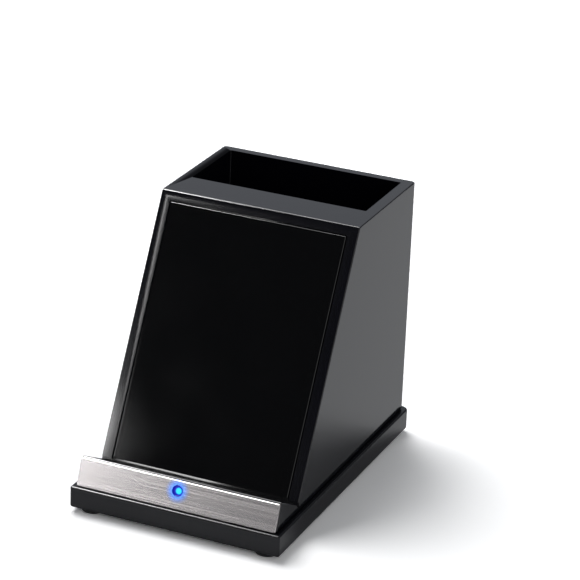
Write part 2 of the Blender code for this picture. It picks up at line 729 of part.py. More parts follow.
def carrier_screw_places():
    x = WINDOW_HALF - CARRIER_SCREW_IN
    low = CARRIER_LOW + CARRIER_SCREW_END
    high = CARRIER_HIGH - CARRIER_SCREW_END
    return {
        "carrier_screw_lower_left": (-x, low), "carrier_screw_lower_right": (x, low),
        "carrier_screw_upper_left": (-x, high), "carrier_screw_upper_right": (x, high),
    }


def build_charge_panel(surface, panel_frame):
    bm = bmesh.new()
    add_prism(bm, box_outline(-INSERT_HALF, INSERT_HALF, INSERT_START, PANEL_END), -PANEL_THICKNESS, 0)
    panel = finish("charge_panel", bm, surface, panel_frame)
    soften(panel, PANEL_EDGE, segments=2)
    bm = bmesh.new()
    for place in carrier_screw_places().values():
        add_cylinder(bm, place, CARRIER_BOSS_RADIUS, CARRIER_FRONT_Z + GAP, -PANEL_THICKNESS / 2,
                     SCREW_SIDES)
    combine(panel, tool("panel_bosses", bm, panel_frame), "UNION")
    bm = bmesh.new()
    tip = CARRIER_BACK_Z - GAP + SMALL_SCREW_LENGTH + GAP
    for place in carrier_screw_places().values():
        add_cylinder(bm, place, SMALL_SCREW_RADIUS + GAP, CARRIER_BACK_Z, tip, SCREW_SIDES)
    combine(panel, tool("panel_boss_holes", bm, panel_frame))


def build_ledge_pad(surface, panel_frame):
    bm = bmesh.new()
    outline = box_outline(-PAD_THICKNESS, 0, INSERT_START, LEDGE_DEPTH - PAD_LIP - GAP)
    add_prism(bm, outline, -INSERT_HALF, INSERT_HALF, side_axis=True)
    pad = finish("ledge_pad", bm, surface, panel_frame)
    soften(pad, PAD_EDGE, segments=2)


def build_trim(surface, lip_frame):
    half = BODY_HALF - TRIM_SIDE
    bm = bmesh.new()
    outline = rounded(-half, half, -TRIM_DROP, LIP_LENGTH - TRIM_SHORT, TRIM_CORNER)
    add_prism(bm, outline, GAP, GAP + TRIM_THICKNESS)
    trim = finish("trim_plate", bm, surface, lip_frame)
    soften(trim, TRIM_EDGE)
    bm = bmesh.new()
    add_cylinder(bm, (0, lens_up()), LENS_RADIUS + GAP, -OVERRUN, OVERRUN)
    combine(trim, tool("trim_hole", bm, lip_frame))


# Indicator lamp


def build_indicator(lens_surface, board_surface, lamp_surface, screw_surface, lip_frame):
    face = GAP + TRIM_THICKNESS
    bm = bmesh.new()
    profile = [(LENS_RADIUS, -BODY_WALL - LENS_TAIL), (LENS_RADIUS, face)]
    for across, rise in LENS_DOME_SHARES:
        profile.append((LENS_RADIUS * across, face + LENS_PROUD * rise))
    add_turned(bm, profile, ROUND_SIDES, (0, lens_up()))
    finish("indicator_lens", bm, lens_surface, lip_frame)

    bm = bmesh.new()
    outline = box_outline(-LAMP_WIDTH / 2, LAMP_WIDTH / 2, lens_up() - LAMP_HEIGHT / 2,
                          lens_up() + LAMP_HEIGHT / 2)
    add_prism(bm, outline, LAMP_BACK_Z, LAMP_BACK_Z + LAMP_THICKNESS)
    lamp = finish("indicator_led", bm, lamp_surface, lip_frame)
    soften(lamp, CHIP_EDGE)

    half = LAMP_BOARD_WIDTH / 2
    top = lens_up() + LAMP_BOARD_TOP
    back = LAMP_BOARD_Z - LAMP_BOARD_THICKNESS
    bm = bmesh.new()
    add_prism(bm, box_outline(-half, half, top - LAMP_BOARD_HEIGHT, top), back, LAMP_BOARD_Z)
    board = finish("indicator_board", bm, board_surface, lip_frame)
    places = [(side * LAMP_BOSS_SPREAD / 2, lens_up() - LAMP_BOSS_DROP) for side in (-1, 1)]
    bm = bmesh.new()
    for place in places:
        add_cylinder(bm, place, SMALL_SCREW_RADIUS + GAP, back - OVERRUN, OVERRUN, SCREW_SIDES)
    combine(board, tool("indicator_board_holes", bm, lip_frame))
    for name, place in zip(("indicator_screw_left", "indicator_screw_right"), places):
        build_screw(name, screw_surface, (*place, back - GAP), parent=lip_frame)


# Coil pack


def spiral_points(middle, level):
    """Flat spiral from the inner turn to the outer one, one unbroken run."""
    count = COIL_TURNS * COIL_POINTS + 1
    points = []
    for index in range(count):
        angle = 2 * math.pi * index / COIL_POINTS
        radius = COIL_INNER_RADIUS + COIL_PITCH * index / COIL_POINTS
        points.append(Vector((radius * math.cos(angle), middle + radius * math.sin(angle), level)))
    return points


def least_turn_gap(points):
    """Smallest clear distance between neighbouring turns, measured on the points."""
    nearest = min(
        (points[index + COIL_POINTS] - points[index]).length
        for index in range(len(points) - COIL_POINTS)
    )
    return nearest - COIL_WIRE


def build_tube(name, points, radius, resolution, surface, parent=None):
    data = bpy.data.curves.new(name, "CURVE")
    data.dimensions = "3D"
    data.bevel_depth = radius
    data.bevel_resolution = resolution
    data.use_fill_caps = True
    run = data.splines.new("POLY")
    run.points.add(len(points) - 1)
    for knot, point in zip(run.points, points):
        knot.co = (*point, 1)
    data.materials.append(surface)
    made = bpy.data.objects.new(name, data)
    bpy.context.scene.collection.objects.link(made)
    made.parent = parent
    return made


def build_coils(surface, panel_frame):
    coils = zip(("coil_lower", "coil_upper"), COIL_MIDDLES, (COIL_FRONT_Z, COIL_REAR_Z))
    for name, middle, level in coils:
        points = spiral_points(middle, level)
        build_tube(name, points, COIL_WIRE / 2, 1, surface, panel_frame)
        print(f"{name}: least gap between turns {least_turn_gap(points) * 1000:.2f} mm")


def build_ferrite(surface, panel_frame):
    half = COIL_RADIUS + FERRITE_MARGIN
    outline = rounded(-half, half, COIL_MIDDLES[0] - half, COIL_MIDDLES[1] + half, FERRITE_RADIUS)
    bm = bmesh.new()
    add_prism(bm, outline, FERRITE_FRONT_Z - FERRITE_THICKNESS, FERRITE_FRONT_Z)
    finish("ferrite_sheet", bm, surface, panel_frame)


def build_carrier(surface, panel_frame):
    """Plate that clamps the panel from behind: its side rails bear on the housing's shelf."""
    half = WINDOW_HALF + CARRIER_REACH
    bm = bmesh.new()
    outline = rounded(-half, half, CARRIER_LOW, CARRIER_HIGH, CARRIER_RADIUS)
    add_prism(bm, outline, CARRIER_BACK_Z, CARRIER_FRONT_Z)
    carrier = finish("coil_carrier", bm, surface, panel_frame)
    bm = bmesh.new()
    for side in (-1, 1):
        inner, outer = sorted((side * (WINDOW_HALF + GAP), side * half))
        outline = box_outline(inner, outer, CARRIER_LOW + CARRIER_RADIUS, CARRIER_HIGH - CARRIER_RADIUS)
        add_prism(bm, outline, CARRIER_FRONT_Z - CARRIER_THICKNESS / 2, -RAIL_THICKNESS - GAP)
    combine(carrier, tool("carrier_rails", bm, panel_frame), "UNION")
    bm = bmesh.new()
    for middle in COIL_MIDDLES:
        add_cylinder(bm, (0, middle), CARRIER_WINDOW, CARRIER_BACK_Z - OVERRUN, 0)
    for place in carrier_screw_places().values():
        add_cylinder(bm, place, SMALL_SCREW_RADIUS + GAP, CARRIER_BACK_Z - OVERRUN, 0, SCREW_SIDES)
    combine(carrier, tool("carrier_openings", bm, panel_frame))


def build_carrier_screws(surface, panel_frame):
    for name, place in carrier_screw_places().items():
        build_screw(name, surface, (*place, CARRIER_BACK_Z - GAP), parent=panel_frame)


# Main board and inlet


def build_board(surface, screw_surface):
    half = BOARD_WIDTH / 2
    bm = bmesh.new()
    outline = rounded(-half, half, BOARD_FRONT_Y, BOARD_BACK_Y, BOARD_RADIUS)
    add_prism(bm, outline, BOARD_TOP - BOARD_THICKNESS, BOARD_TOP)
    board = finish("main_board", bm, surface)
    bm = bmesh.new()
    for place in board_screw_places():
        add_cylinder(bm, place, SMALL_SCREW_RADIUS + GAP, BOARD_TOP - BOARD_THICKNESS - OVERRUN,
                     BOARD_TOP + OVERRUN, SCREW_SIDES)
    combine(board, tool("main_board_holes", bm))
    names = ("board_screw_front_left", "board_screw_front_right",
             "board_screw_rear_left", "board_screw_rear_right")
    for name, place in zip(names, board_screw_places()):
        build_screw(name, screw_surface, (*place, BOARD_TOP - BOARD_THICKNESS - GAP))


def build_inlet(metal, plastic):
    """Receptacle: a rounded metal sleeve round a stepped tongue, lying on the board's rear edge."""
    mouth = BODY_BACK - USB_SUNK
    middle = DECK + USB_RISE
    place = Matrix.Translation((0, mouth, middle)) @ Matrix.Rotation(math.pi / 2, 4, "X")

    bm = bmesh.new()
    for inset, low, high in ((0, 0, USB_DEPTH), (USB_WALL, -OVERRUN, USB_DEPTH + OVERRUN)):
        half_width = USB_WIDTH / 2 - inset
        half_height = USB_HEIGHT / 2 - inset
        outline = rounded(-half_width, half_width, -half_height, half_height, half_height, steps=SLOT_STEPS)
        if inset == 0:
            add_prism(bm, outline, low, high)
            sleeve = finish("usb_c_shell", bm, metal)
            sleeve.matrix_world = place
            bm = bmesh.new()
        else:
            add_prism(bm, outline, low, high)
            bore = tool("usb_c_bore", bm)
            bore.matrix_world = place
            combine(sleeve, bore)

    thin = USB_TONGUE_THICKNESS / 2
    thick = USB_HEIGHT / 2 - USB_WALL - GAP
    rear = mouth - USB_DEPTH
    shoulder = rear + USB_BLOCK_DEPTH
    tip = shoulder + USB_TONGUE_LENGTH
    outline = [Vector((y, middle + z)) for y, z in (
        (rear, -thick), (shoulder, -thick), (shoulder, -thin), (tip, -thin),
        (tip, thin), (shoulder, thin), (shoulder, thick), (rear, thick),
    )]
    bm = bmesh.new()
    add_prism(bm, outline, -USB_TONGUE_WIDTH / 2, USB_TONGUE_WIDTH / 2, side_axis=True)
    finish("usb_c_tongue", bm, plastic)


def build_block(name, surface, middle, width, depth, height, edge):
    """A part soldered on the board, its edges softened."""
    bm = bmesh.new()
    x, y = middle
    outline = box_outline(x - width / 2, x + width / 2, y - depth / 2, y + depth / 2)
    add_prism(bm, outline, BOARD_TOP + GAP, BOARD_TOP + GAP + height)
    block = finish(name, bm, surface)
    soften(block, edge)
    return block


def board_place(x_share, y_share):
    middle = (BOARD_FRONT_Y + BOARD_BACK_Y) / 2
    return (BOARD_WIDTH * x_share, middle + BOARD_DEPTH * y_share)


def header_places():
    y = BOARD_FRONT_Y + HEADER_DEPTH / 2 + GAP
    return (BOARD_WIDTH * HEADER_SHARE, y), (-BOARD_WIDTH * HEADER_SHARE, y)


def build_board_parts(chip, ceramic, choke, header):
    groups = (
        (CHIP_SHARES, chip, CONTROLLER_SIDE, CONTROLLER_SIDE, CHIP_HEIGHT, CHIP_EDGE),
        (BRIDGE_SHARES, chip, BRIDGE_WIDTH, BRIDGE_DEPTH, CHIP_HEIGHT, CHIP_EDGE),
        (INDUCTOR_SHARES, choke, INDUCTOR_SIDE, INDUCTOR_SIDE, INDUCTOR_HEIGHT, INDUCTOR_EDGE),
        (CAPACITOR_SHARES, ceramic, CAPACITOR_WIDTH, CAPACITOR_DEPTH, CAPACITOR_HEIGHT, CAPACITOR_EDGE),
    )
    for shares, surface, width, depth, height, edge in groups:
        for name, place in shares.items():
            build_block(name, surface, board_place(*place), width, depth, height, edge)
    coil_place, lamp_place = header_places()
    build_block("coil_header", header, coil_place, COIL_HEADER_WIDTH, HEADER_DEPTH, HEADER_HEIGHT,
                HEADER_EDGE)
    build_block("lamp_header", header, lamp_place, LAMP_HEADER_WIDTH, HEADER_DEPTH, HEADER_HEIGHT,
                HEADER_EDGE)


# Leads


def smooth_route(knots, count):
    """Points of one smooth curve through the knots, by equal steps of the curve's own measure."""
    padded = [knots[0] * 2 - knots[1], *knots, knots[-1] * 2 - knots[-2]]
    spans = len(knots) - 1
    points = []
    for index in range(count):
        travel = spans * index / (count - 1)
        span = min(int(travel), spans - 1)
        t = travel - span
        a, b, c, d = padded[span:span + 4]
        points.append(
            (b * 2 + (c - a) * t + (a * 2 - b * 5 + c * 4 - d) * t ** 2
             + (b * 3 - a - c * 3 + d) * t ** 3) / 2
        )
    return points


def build_leads(surface):
    """Two bundles inside the housing: coils to board, and lamp to board."""
    coil_place, lamp_place = header_places()
    mid_header = BOARD_TOP + GAP + HEADER_HEIGHT / 2
    under_header = BOARD_FRONT_Y + GAP
    floor = FOOT_PROUD + PLINTH_FLOOR + PLINTH_RIB_HEIGHT + GAP * 2

    x = coil_place[0]
    root = panel_point(CARRIER_LOW + CARRIER_RADIUS + COIL_LEAD_RADIUS, CARRIER_BACK_Z - GAP)
    bow = root - OFF_PANEL * LEAD_BOW
    low = floor + COIL_LEAD_RADIUS
    knots = [
        Vector((x, root.x, root.y)),
        Vector((x, bow.x, bow.y)),
        Vector((x, bow.x + (under_header - bow.x) * COIL_LEAD_SHARE, max(mid_header, low))),
        Vector((x, under_header - LEAD_BOW, mid_header)),
        Vector((x, under_header - GAP, mid_header)),
    ]
    build_tube("coil_leads", smooth_route(knots, LEAD_POINTS), COIL_LEAD_RADIUS, 2, surface)

    back = LAMP_BOARD_Z - LAMP_BOARD_THICKNESS - GAP
    up = lens_up() + LAMP_BOARD_TOP - LAMP_BOARD_HEIGHT + LAMP_LEAD_RADIUS + GAP
    root = LIP_FOOT + UP_LIP * up + OFF_LIP * back
    low = floor + LAMP_LEAD_RADIUS
    knots = [
        Vector((0, root.x, root.y)),
        Vector((0, root.x + LEAD_BOW / 2, max(low, root.y - LEAD_BOW / 4))),
        Vector((lamp_place[0] * LAMP_LEAD_SHARES[0], VALLEY.x, low)),
        Vector((lamp_place[0] * LAMP_LEAD_SHARES[1], (VALLEY.x + under_header) / 2, low)),
        Vector((lamp_place[0], under_header - LEAD_BOW, mid_header)),
        Vector((lamp_place[0], under_header - GAP, mid_header)),
    ]
    build_tube("lamp_leads", smooth_route(knots, LEAD_POINTS), LAMP_LEAD_RADIUS, 2, surface)


def main():
    clear_scene()
    moulded = material("moulded_black", (0.012, 0.012, 0.014), 0.30)
    gloss = material("gloss_black", (0.006, 0.006, 0.007), 0.08)
    silicone = material("silicone_black", (0.010, 0.010, 0.011), 0.45)
    brushed = material("brushed_metal", (0.62, 0.60, 0.59), 0.32, 1.0)
    rubber = material("rubber_black", (0.015, 0.015, 0.015), 0.80)
    blue = material("lens_blue", (0.02, 0.12, 0.90), 0.15)
    board_green = material("board_green", (0.010, 0.090, 0.035), 0.45)
    steel = material("screw_steel", (0.55, 0.55, 0.56), 0.35, 1.0)
    copper = material("winding_copper", (0.55, 0.20, 0.07), 0.40, 1.0)
    ferrite = material("ferrite_grey", (0.045, 0.045, 0.048), 0.65)
    natural = material("carrier_grey", (0.10, 0.10, 0.11), 0.55)
    chip = material("chip_black", (0.015, 0.015, 0.016), 0.50)
    ceramic = material("capacitor_tan", (0.36, 0.24, 0.14), 0.50)
    choke = material("inductor_grey", (0.08, 0.08, 0.085), 0.60)
    header = material("header_white", (0.75, 0.73, 0.68), 0.50)
    lead = material("lead_black", (0.012, 0.012, 0.012), 0.50)

    panel_frame = frame_empty("panel_frame", VALLEY, math.pi / 2 - PANEL_LEAN)
    lip_frame = frame_empty("lip_frame", LIP_FOOT, math.pi / 2 - LIP_LEAN)

    build_body(moulded, panel_frame, lip_frame)
    build_charge_panel(gloss, panel_frame)
    build_ledge_pad(silicone, panel_frame)
    build_trim(brushed, lip_frame)
    build_indicator(blue, board_green, header, steel, lip_frame)
    build_tray(moulded)
    build_feet(rubber)
    build_housing_screws(steel)
    build_coils(copper, panel_frame)
    build_ferrite(ferrite, panel_frame)
    build_carrier(natural, panel_frame)
    build_carrier_screws(steel, panel_frame)
    build_board(board_green, steel)
    build_inlet(steel, chip)
    build_board_parts(chip, ceramic, choke, header)
    build_leads(lead)


main()
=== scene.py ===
import math

import bmesh
import bpy
from mathutils import Euler, Matrix, Vector


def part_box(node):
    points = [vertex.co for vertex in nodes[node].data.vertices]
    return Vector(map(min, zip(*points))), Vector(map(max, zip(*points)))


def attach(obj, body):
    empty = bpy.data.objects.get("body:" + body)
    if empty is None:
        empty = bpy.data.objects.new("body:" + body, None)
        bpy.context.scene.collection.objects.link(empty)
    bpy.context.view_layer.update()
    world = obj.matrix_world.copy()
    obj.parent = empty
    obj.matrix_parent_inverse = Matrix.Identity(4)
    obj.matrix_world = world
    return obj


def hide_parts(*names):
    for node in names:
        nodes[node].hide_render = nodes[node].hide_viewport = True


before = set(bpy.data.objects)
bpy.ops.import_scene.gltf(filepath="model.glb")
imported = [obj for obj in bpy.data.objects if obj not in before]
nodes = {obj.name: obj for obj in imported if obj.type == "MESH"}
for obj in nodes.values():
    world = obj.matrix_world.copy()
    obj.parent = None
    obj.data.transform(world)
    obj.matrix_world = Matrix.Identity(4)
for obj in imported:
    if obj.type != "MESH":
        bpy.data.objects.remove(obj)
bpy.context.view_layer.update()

scene = bpy.context.scene

# View
# A long lens from the front right that looks down by 23 degrees, level but for two degrees of roll.
# The picture is square, so the lens and the sensor give the same angle both ways.
VIEW_AZIMUTH = math.radians(23.285)
VIEW_ELEVATION = math.radians(22.803)
VIEW_ROLL = math.radians(2.331)
VIEW_DISTANCE = 1.1181
VIEW_AIM = Vector((0.01350, 0.00764, 0.07911))
LENS_MM = 175.33
SENSOR_MM = 36.0


def aimed(azimuth, elevation):
    """Unit vector from the object towards a place, azimuth 0 in front and growing to the right."""
    level = math.cos(elevation)
    return Vector((math.sin(azimuth) * level, -math.cos(azimuth) * level, math.sin(elevation)))


optics = bpy.data.cameras.new("view")
optics.lens = LENS_MM
optics.sensor_width = SENSOR_MM
camera = bpy.data.objects.new("view", optics)
scene.collection.objects.link(camera)
back = aimed(VIEW_AZIMUTH, VIEW_ELEVATION)
camera.matrix_world = (
    Matrix.Translation(VIEW_AIM + back * VIEW_DISTANCE)
    @ back.to_track_quat("Z", "Y").to_matrix().to_4x4()
    @ Matrix.Rotation(VIEW_ROLL, 4, "Z")
)
scene.camera = camera
scene.view_settings.view_transform = "Standard"

# Studio
# A pale matt floor under a high softbox behind on the left, a weak fill from the front right, and two
# cards on the left that show only as reflections: a low one for the trim, a near one for the edges. The
# room is pale behind on the left. The camera sees the paper overexposed, as it is in the photograph.
FLOOR_SIDE = 8.0
FLOOR_WHITE = "#e9eaeb"
FLOOR_EXPOSED = (1.60, 1.60, 1.60, 1.0)
PAPER_ROUGHNESS = 0.6
WALL_WHITE = "#eef3fc"
SKY_DARK = 0.06
SKY_BEHIND = 0.54
SKY_TOWARDS = (-0.90, 0.44, 0.0)
SKY_FROM_SIDE = (-0.25, 0.75)     # where the pale part begins and is full, along SKY_TOWARDS
SKY_FROM_FRONT = (-0.45, 0.25)    # and from the front to the back


def linear(code):
    """An sRGB hex colour as the linear values that a shader takes."""
    shares = [int(code[i:i + 2], 16) / 255 for i in (1, 3, 5)]
    return tuple(s / 12.92 if s <= 0.04045 else ((s + 0.055) / 1.055) ** 2.4 for s in shares) + (1.0,)


def add(tree, kind, inputs=None, **settings):
    """Adds a node to a tree. An input is a value, another node's socket, or a list of sockets to join."""
    made = tree.nodes.new(kind)
    for name, value in settings.items():
        setattr(made, name, value)
    for name, value in (inputs or {}).items():
        for source in (value if isinstance(value, list) else [value]):
            if isinstance(source, bpy.types.NodeSocket):
                tree.links.new(source, made.inputs[name])
            else:
                made.inputs[name].default_value = source
    return made


def start_finish(name):
    """An empty material and its node tree."""
    made = bpy.data.materials.new(name)
    made.use_nodes = True
    made.node_tree.nodes.clear()
    return made, made.node_tree


def hang_light(name, azimuth, elevation, distance, width, height, watts, card=False):
    """A rectangle of light that faces the object. A card only shows in what reflects it."""
    data = bpy.data.lights.new(name, "AREA")
    data.shape = "RECTANGLE"
    data.size = width
    data.size_y = height
    data.energy = watts
    made = bpy.data.objects.new(name, data)
    scene.collection.objects.link(made)
    towards = aimed(math.radians(azimuth), math.radians(elevation))
    made.matrix_world = (
        Matrix.Translation(towards * distance) @ towards.to_track_quat("Z", "Y").to_matrix().to_4x4()
    )
    made.visible_camera = False
    made.visible_diffuse = not card


hang_light("softbox", azimuth=-124, elevation=64, distance=2.2, width=1.2, height=1.2, watts=38)
hang_light("fill", azimuth=50, elevation=25, distance=2.2, width=2.2, height=1.6, watts=11.5)
hang_light("low_card", azimuth=-35.2, elevation=18.0, distance=1.5, width=0.34, height=0.30, watts=5.6,
           card=True)
hang_light("edge_card", azimuth=-64, elevation=55, distance=0.77, width=0.25, height=0.25, watts=14,
           card=True)

# The paper as it lights the object, and as the camera sees it.
floor_finish, tree = start_finish("matt_studio_paper")
paper = add(tree, "ShaderNodeBsdfDiffuse", {"Color": linear(FLOOR_WHITE), "Roughness": PAPER_ROUGHNESS})
exposed = add(tree, "ShaderNodeBsdfDiffuse", {"Color": FLOOR_EXPOSED, "Roughness": PAPER_ROUGHNESS})
path = add(tree, "ShaderNodeLightPath")
both = add(tree, "ShaderNodeMixShader", {
    "Fac": path.outputs["Is Camera Ray"], 1: paper.outputs["BSDF"], 2: exposed.outputs["BSDF"],
})
add(tree, "ShaderNodeOutputMaterial", {"Surface": both.outputs["Shader"]})
bm = bmesh.new()
bmesh.ops.create_grid(bm, x_segments=1, y_segments=1, size=FLOOR_SIDE / 2)
mesh = bpy.data.meshes.new("studio_floor")
bm.to_mesh(mesh)
bm.free()
mesh.materials.append(floor_finish)
floor = bpy.data.objects.new("studio_floor", mesh)
scene.collection.objects.link(floor)

# The room as the object reflects it; the camera sees plain white.
world = bpy.data.worlds.new("studio")
world.use_nodes = True
scene.world = world
tree = world.node_tree
tree.nodes.clear()
ray = add(tree, "ShaderNodeTexCoord")
facing = add(tree, "ShaderNodeVectorMath", {
    0: ray.outputs["Generated"], 1: SKY_TOWARDS,
}, operation="DOT_PRODUCT")
sideways = add(tree, "ShaderNodeMapRange", {
    "Value": facing.outputs["Value"], "From Min": SKY_FROM_SIDE[0], "From Max": SKY_FROM_SIDE[1],
}, interpolation_type="SMOOTHSTEP")
parts = add(tree, "ShaderNodeSeparateXYZ", {"Vector": ray.outputs["Generated"]})
behind = add(tree, "ShaderNodeMapRange", {
    "Value": parts.outputs["Y"], "From Min": SKY_FROM_FRONT[0], "From Max": SKY_FROM_FRONT[1],
}, interpolation_type="SMOOTHSTEP")
share = add(tree, "ShaderNodeMath", {
    0: sideways.outputs["Result"], 1: behind.outputs["Result"],
}, operation="MULTIPLY")
sky = add(tree, "ShaderNodeMapRange", {
    "Value": share.outputs["Value"], "To Min": SKY_DARK, "To Max": SKY_BEHIND,
})
lit = add(tree, "ShaderNodeBackground", {"Color": linear(WALL_WHITE), "Strength": sky.outputs["Result"]})
seen = add(tree, "ShaderNodeBackground", {"Color": linear("#ffffff"), "Strength": 1.0})
path = add(tree, "ShaderNodeLightPath")
both = add(tree, "ShaderNodeMixShader", {
    "Fac": path.outputs["Is Camera Ray"], 1: lit.outputs["Background"], 2: seen.outputs["Background"],
})
add(tree, "ShaderNodeOutputWorld", {"Surface": both.outputs["Shader"]})

# Base tray
# The low plinth: one black ABS moulding with rounded edges, open above, with ribs, screw bosses and
# the seats of the feet. It carries everything and is closed by the housing.
EDGE_ANGLE = math.radians(35)     # a bend sharper than this is shaded as an edge
FLAT_ANGLE = math.radians(0.5)    # triangles that differ by less are one face
SAME_PLACE = 1e-6
FACE_WEIGHT = 90                  # how far a large face rules the shading of its edges
ABS_BLACK = "#0a0a11"


def smooth_copy(node, name):
    """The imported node's own shape, its doubles merged and its rounded edges shaded as round."""
    bm = bmesh.new()
    bm.from_mesh(nodes[node].data)
    bmesh.ops.remove_doubles(bm, verts=bm.verts, dist=SAME_PLACE)
    bmesh.ops.dissolve_limit(bm, angle_limit=FLAT_ANGLE, verts=bm.verts, edges=bm.edges)
    mesh = bpy.data.meshes.new(name)
    bm.to_mesh(mesh)
    bm.free()
    mesh.shade_smooth()
    mesh.set_sharp_from_angle(angle=EDGE_ANGLE)
    made = bpy.data.objects.new(name, mesh)
    scene.collection.objects.link(made)
    weigh = made.modifiers.new("weighted_normals", "WEIGHTED_NORMAL")
    weigh.keep_sharp = True
    weigh.weight = FACE_WEIGHT
    return made


def place_of(tree, centre=(0, 0, 0), turn=(0, 0, 0), size=1.0):
    """Object coordinates about a centre, turned and divided by a real size, or by one for each axis."""
    source = add(tree, "ShaderNodeTexCoord")
    return add(tree, "ShaderNodeMapping", {
        "Vector": source.outputs["Object"], "Location": centre, "Rotation": turn,
        "Scale": size if isinstance(size, tuple) else (size, size, size),
    }, vector_type="TEXTURE").outputs["Vector"]


def moulded(name, colour, roughness, cloud, ripple, ripple_height, ior=1.5):
    """A moulded skin: gloss that drifts in faint clouds, and slight ripples. Their sizes are in metres."""
    made, tree = start_finish(name)
    clouds = add(tree, "ShaderNodeTexNoise", {
        "Vector": place_of(tree, size=cloud), "Scale": 1.0, "Detail": 3.0,
    })
    gloss = add(tree, "ShaderNodeMapRange", {
        "Value": clouds.outputs["Fac"], "From Min": 0.3, "From Max": 0.7,
        "To Min": roughness[0], "To Max": roughness[1],
    })
    skin = add(tree, "ShaderNodeTexNoise", {
        "Vector": place_of(tree, size=ripple), "Scale": 1.0, "Detail": 2.0,
    })
    bump = add(tree, "ShaderNodeBump", {
        "Height": skin.outputs["Fac"], "Strength": 1.0, "Distance": ripple_height,
    })
    shader = add(tree, "ShaderNodeBsdfPrincipled", {
        "Base Color": linear(colour), "Roughness": gloss.outputs["Result"], "IOR": ior,
        "Normal": bump.outputs["Normal"],
    })
    add(tree, "ShaderNodeOutputMaterial", {"Surface": shader.outputs["BSDF"]})
    return made


# Satin ABS from a fine-polished mould: a soft broad sheen that blurs and weakens what it reflects.
tray_abs = moulded("satin_moulded_abs", ABS_BLACK, roughness=(0.20, 0.27), cloud=0.030, ripple=0.0015,
                   ripple_height=0.000002, ior=1.40)
tray = smooth_copy("base_tray", "tray_moulding")
tray.data.materials.append(tray_abs)
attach(tray, "root")
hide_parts("base_tray")

# Rubber feet
# Four discs of matt moulded rubber with a rounded lower edge and a shallow dished sole, glued in round
# seats under the plinth's corners.
FOOT_SIDES = 40
FOOT_ROWS = 14
FOOT_RINGS = 5
FOOT_EDGE = 0.0006
DISH_RADIUS = 0.0034
DISH_DEPTH = 0.0004
SOLE_BAND = 1e-5      # what lies this near the lower end belongs to the sole


def start_tree(name, inputs):
    """A geometry tree with named inputs, and the sockets that they come from."""
    made = bpy.data.node_groups.new(name, "GeometryNodeTree")
    made.interface.new_socket("Geometry", in_out="OUTPUT", socket_type="NodeSocketGeometry")
    made.interface.new_socket("Places", in_out="INPUT", socket_type="NodeSocketGeometry")
    for label, kind in inputs.items():
        made.interface.new_socket(label, in_out="INPUT", socket_type="NodeSocket" + kind)
    made.interface.new_socket("Finish", in_out="INPUT", socket_type="NodeSocketMaterial")
    return made, add(made, "NodeGroupInput").outputs


def end_tree(tree, geometry, finish):
    """Makes what was grown real, gives it its finish and hands it out."""
    real = add(tree, "GeometryNodeRealizeInstances", {"Geometry": geometry})
    clad = add(tree, "GeometryNodeSetMaterial", {"Geometry": real.outputs["Geometry"], "Material": finish})
    add(tree, "NodeGroupOutput", {"Geometry": clad.outputs["Geometry"]})


def grown(name, tree, places, values, joined=False, smooth_angle=EDGE_ANGLE):
    """Runs a tree once on the places with its named inputs, and keeps the result as a plain mesh.

    A place's fourth value, if it has one, is its turn. Joined places are one line.
    """
    seed = bpy.data.meshes.new(name + "_places")
    runs = [(k, k + 1) for k in range(len(places) - 1)] if joined else []
    seed.from_pydata([tuple(p[:3]) for p in places], runs, [])
    turns = seed.attributes.new("turn", "FLOAT", "POINT")
    for k, place in enumerate(places):
        turns.data[k].value = place[3] if len(place) > 3 else 0.0
    made = bpy.data.objects.new(name, seed)
    scene.collection.objects.link(made)
    step = made.modifiers.new("grow", "NODES")
    step.node_group = tree
    sockets = {item.name: item.identifier for item in tree.interface.items_tree if item.in_out == "INPUT"}
    for label, value in values.items():
        step[sockets[label]] = value
    settled = made.evaluated_get(bpy.context.evaluated_depsgraph_get())
    mesh = bpy.data.meshes.new_from_object(settled)
    made.modifiers.remove(step)
    made.data = mesh
    mesh.name = name
    mesh.shade_smooth()
    mesh.set_sharp_from_angle(angle=smooth_angle)
    return made


tree, given = start_tree("rubber_foot", {
    "Foot Radius": "Float", "Foot Height": "Float", "Foot Edge": "Float", "Dish Radius": "Float",
    "Dish Depth": "Float",
})
disc = add(tree, "GeometryNodeMeshCylinder", {
    "Vertices": FOOT_SIDES, "Side Segments": FOOT_ROWS, "Fill Segments": FOOT_RINGS,
    "Radius": given["Foot Radius"], "Depth": given["Foot Height"],
}, fill_type="TRIANGLE_FAN")
spot = add(tree, "GeometryNodeInputPosition")
axes = add(tree, "ShaderNodeSeparateXYZ", {"Vector": spot.outputs["Position"]})
half = add(tree, "ShaderNodeMath", {0: given["Foot Height"], 1: 0.5}, operation="MULTIPLY")
rise = add(tree, "ShaderNodeMath", {0: axes.outputs["Z"], 1: half.outputs[0]}, operation="ADD")
# The lower edge is a quarter round: the lower a point lies in it, the more of its radius is lost.
climb = add(tree, "ShaderNodeMath", {
    0: rise.outputs[0], 1: given["Foot Edge"],
}, operation="DIVIDE", use_clamp=True)
short = add(tree, "ShaderNodeMath", {0: 1.0, 1: climb.outputs[0]}, operation="SUBTRACT")
square = add(tree, "ShaderNodeMath", {0: short.outputs[0], 1: 2.0}, operation="POWER")
rest = add(tree, "ShaderNodeMath", {0: 1.0, 1: square.outputs[0]}, operation="SUBTRACT", use_clamp=True)
bow = add(tree, "ShaderNodeMath", {0: rest.outputs[0], 1: 0.5}, operation="POWER")
cut = add(tree, "ShaderNodeMath", {0: 1.0, 1: bow.outputs[0]}, operation="SUBTRACT")
part = add(tree, "ShaderNodeMath", {0: given["Foot Edge"], 1: given["Foot Radius"]}, operation="DIVIDE")
lost = add(tree, "ShaderNodeMath", {0: cut.outputs[0], 1: part.outputs[0]}, operation="MULTIPLY")
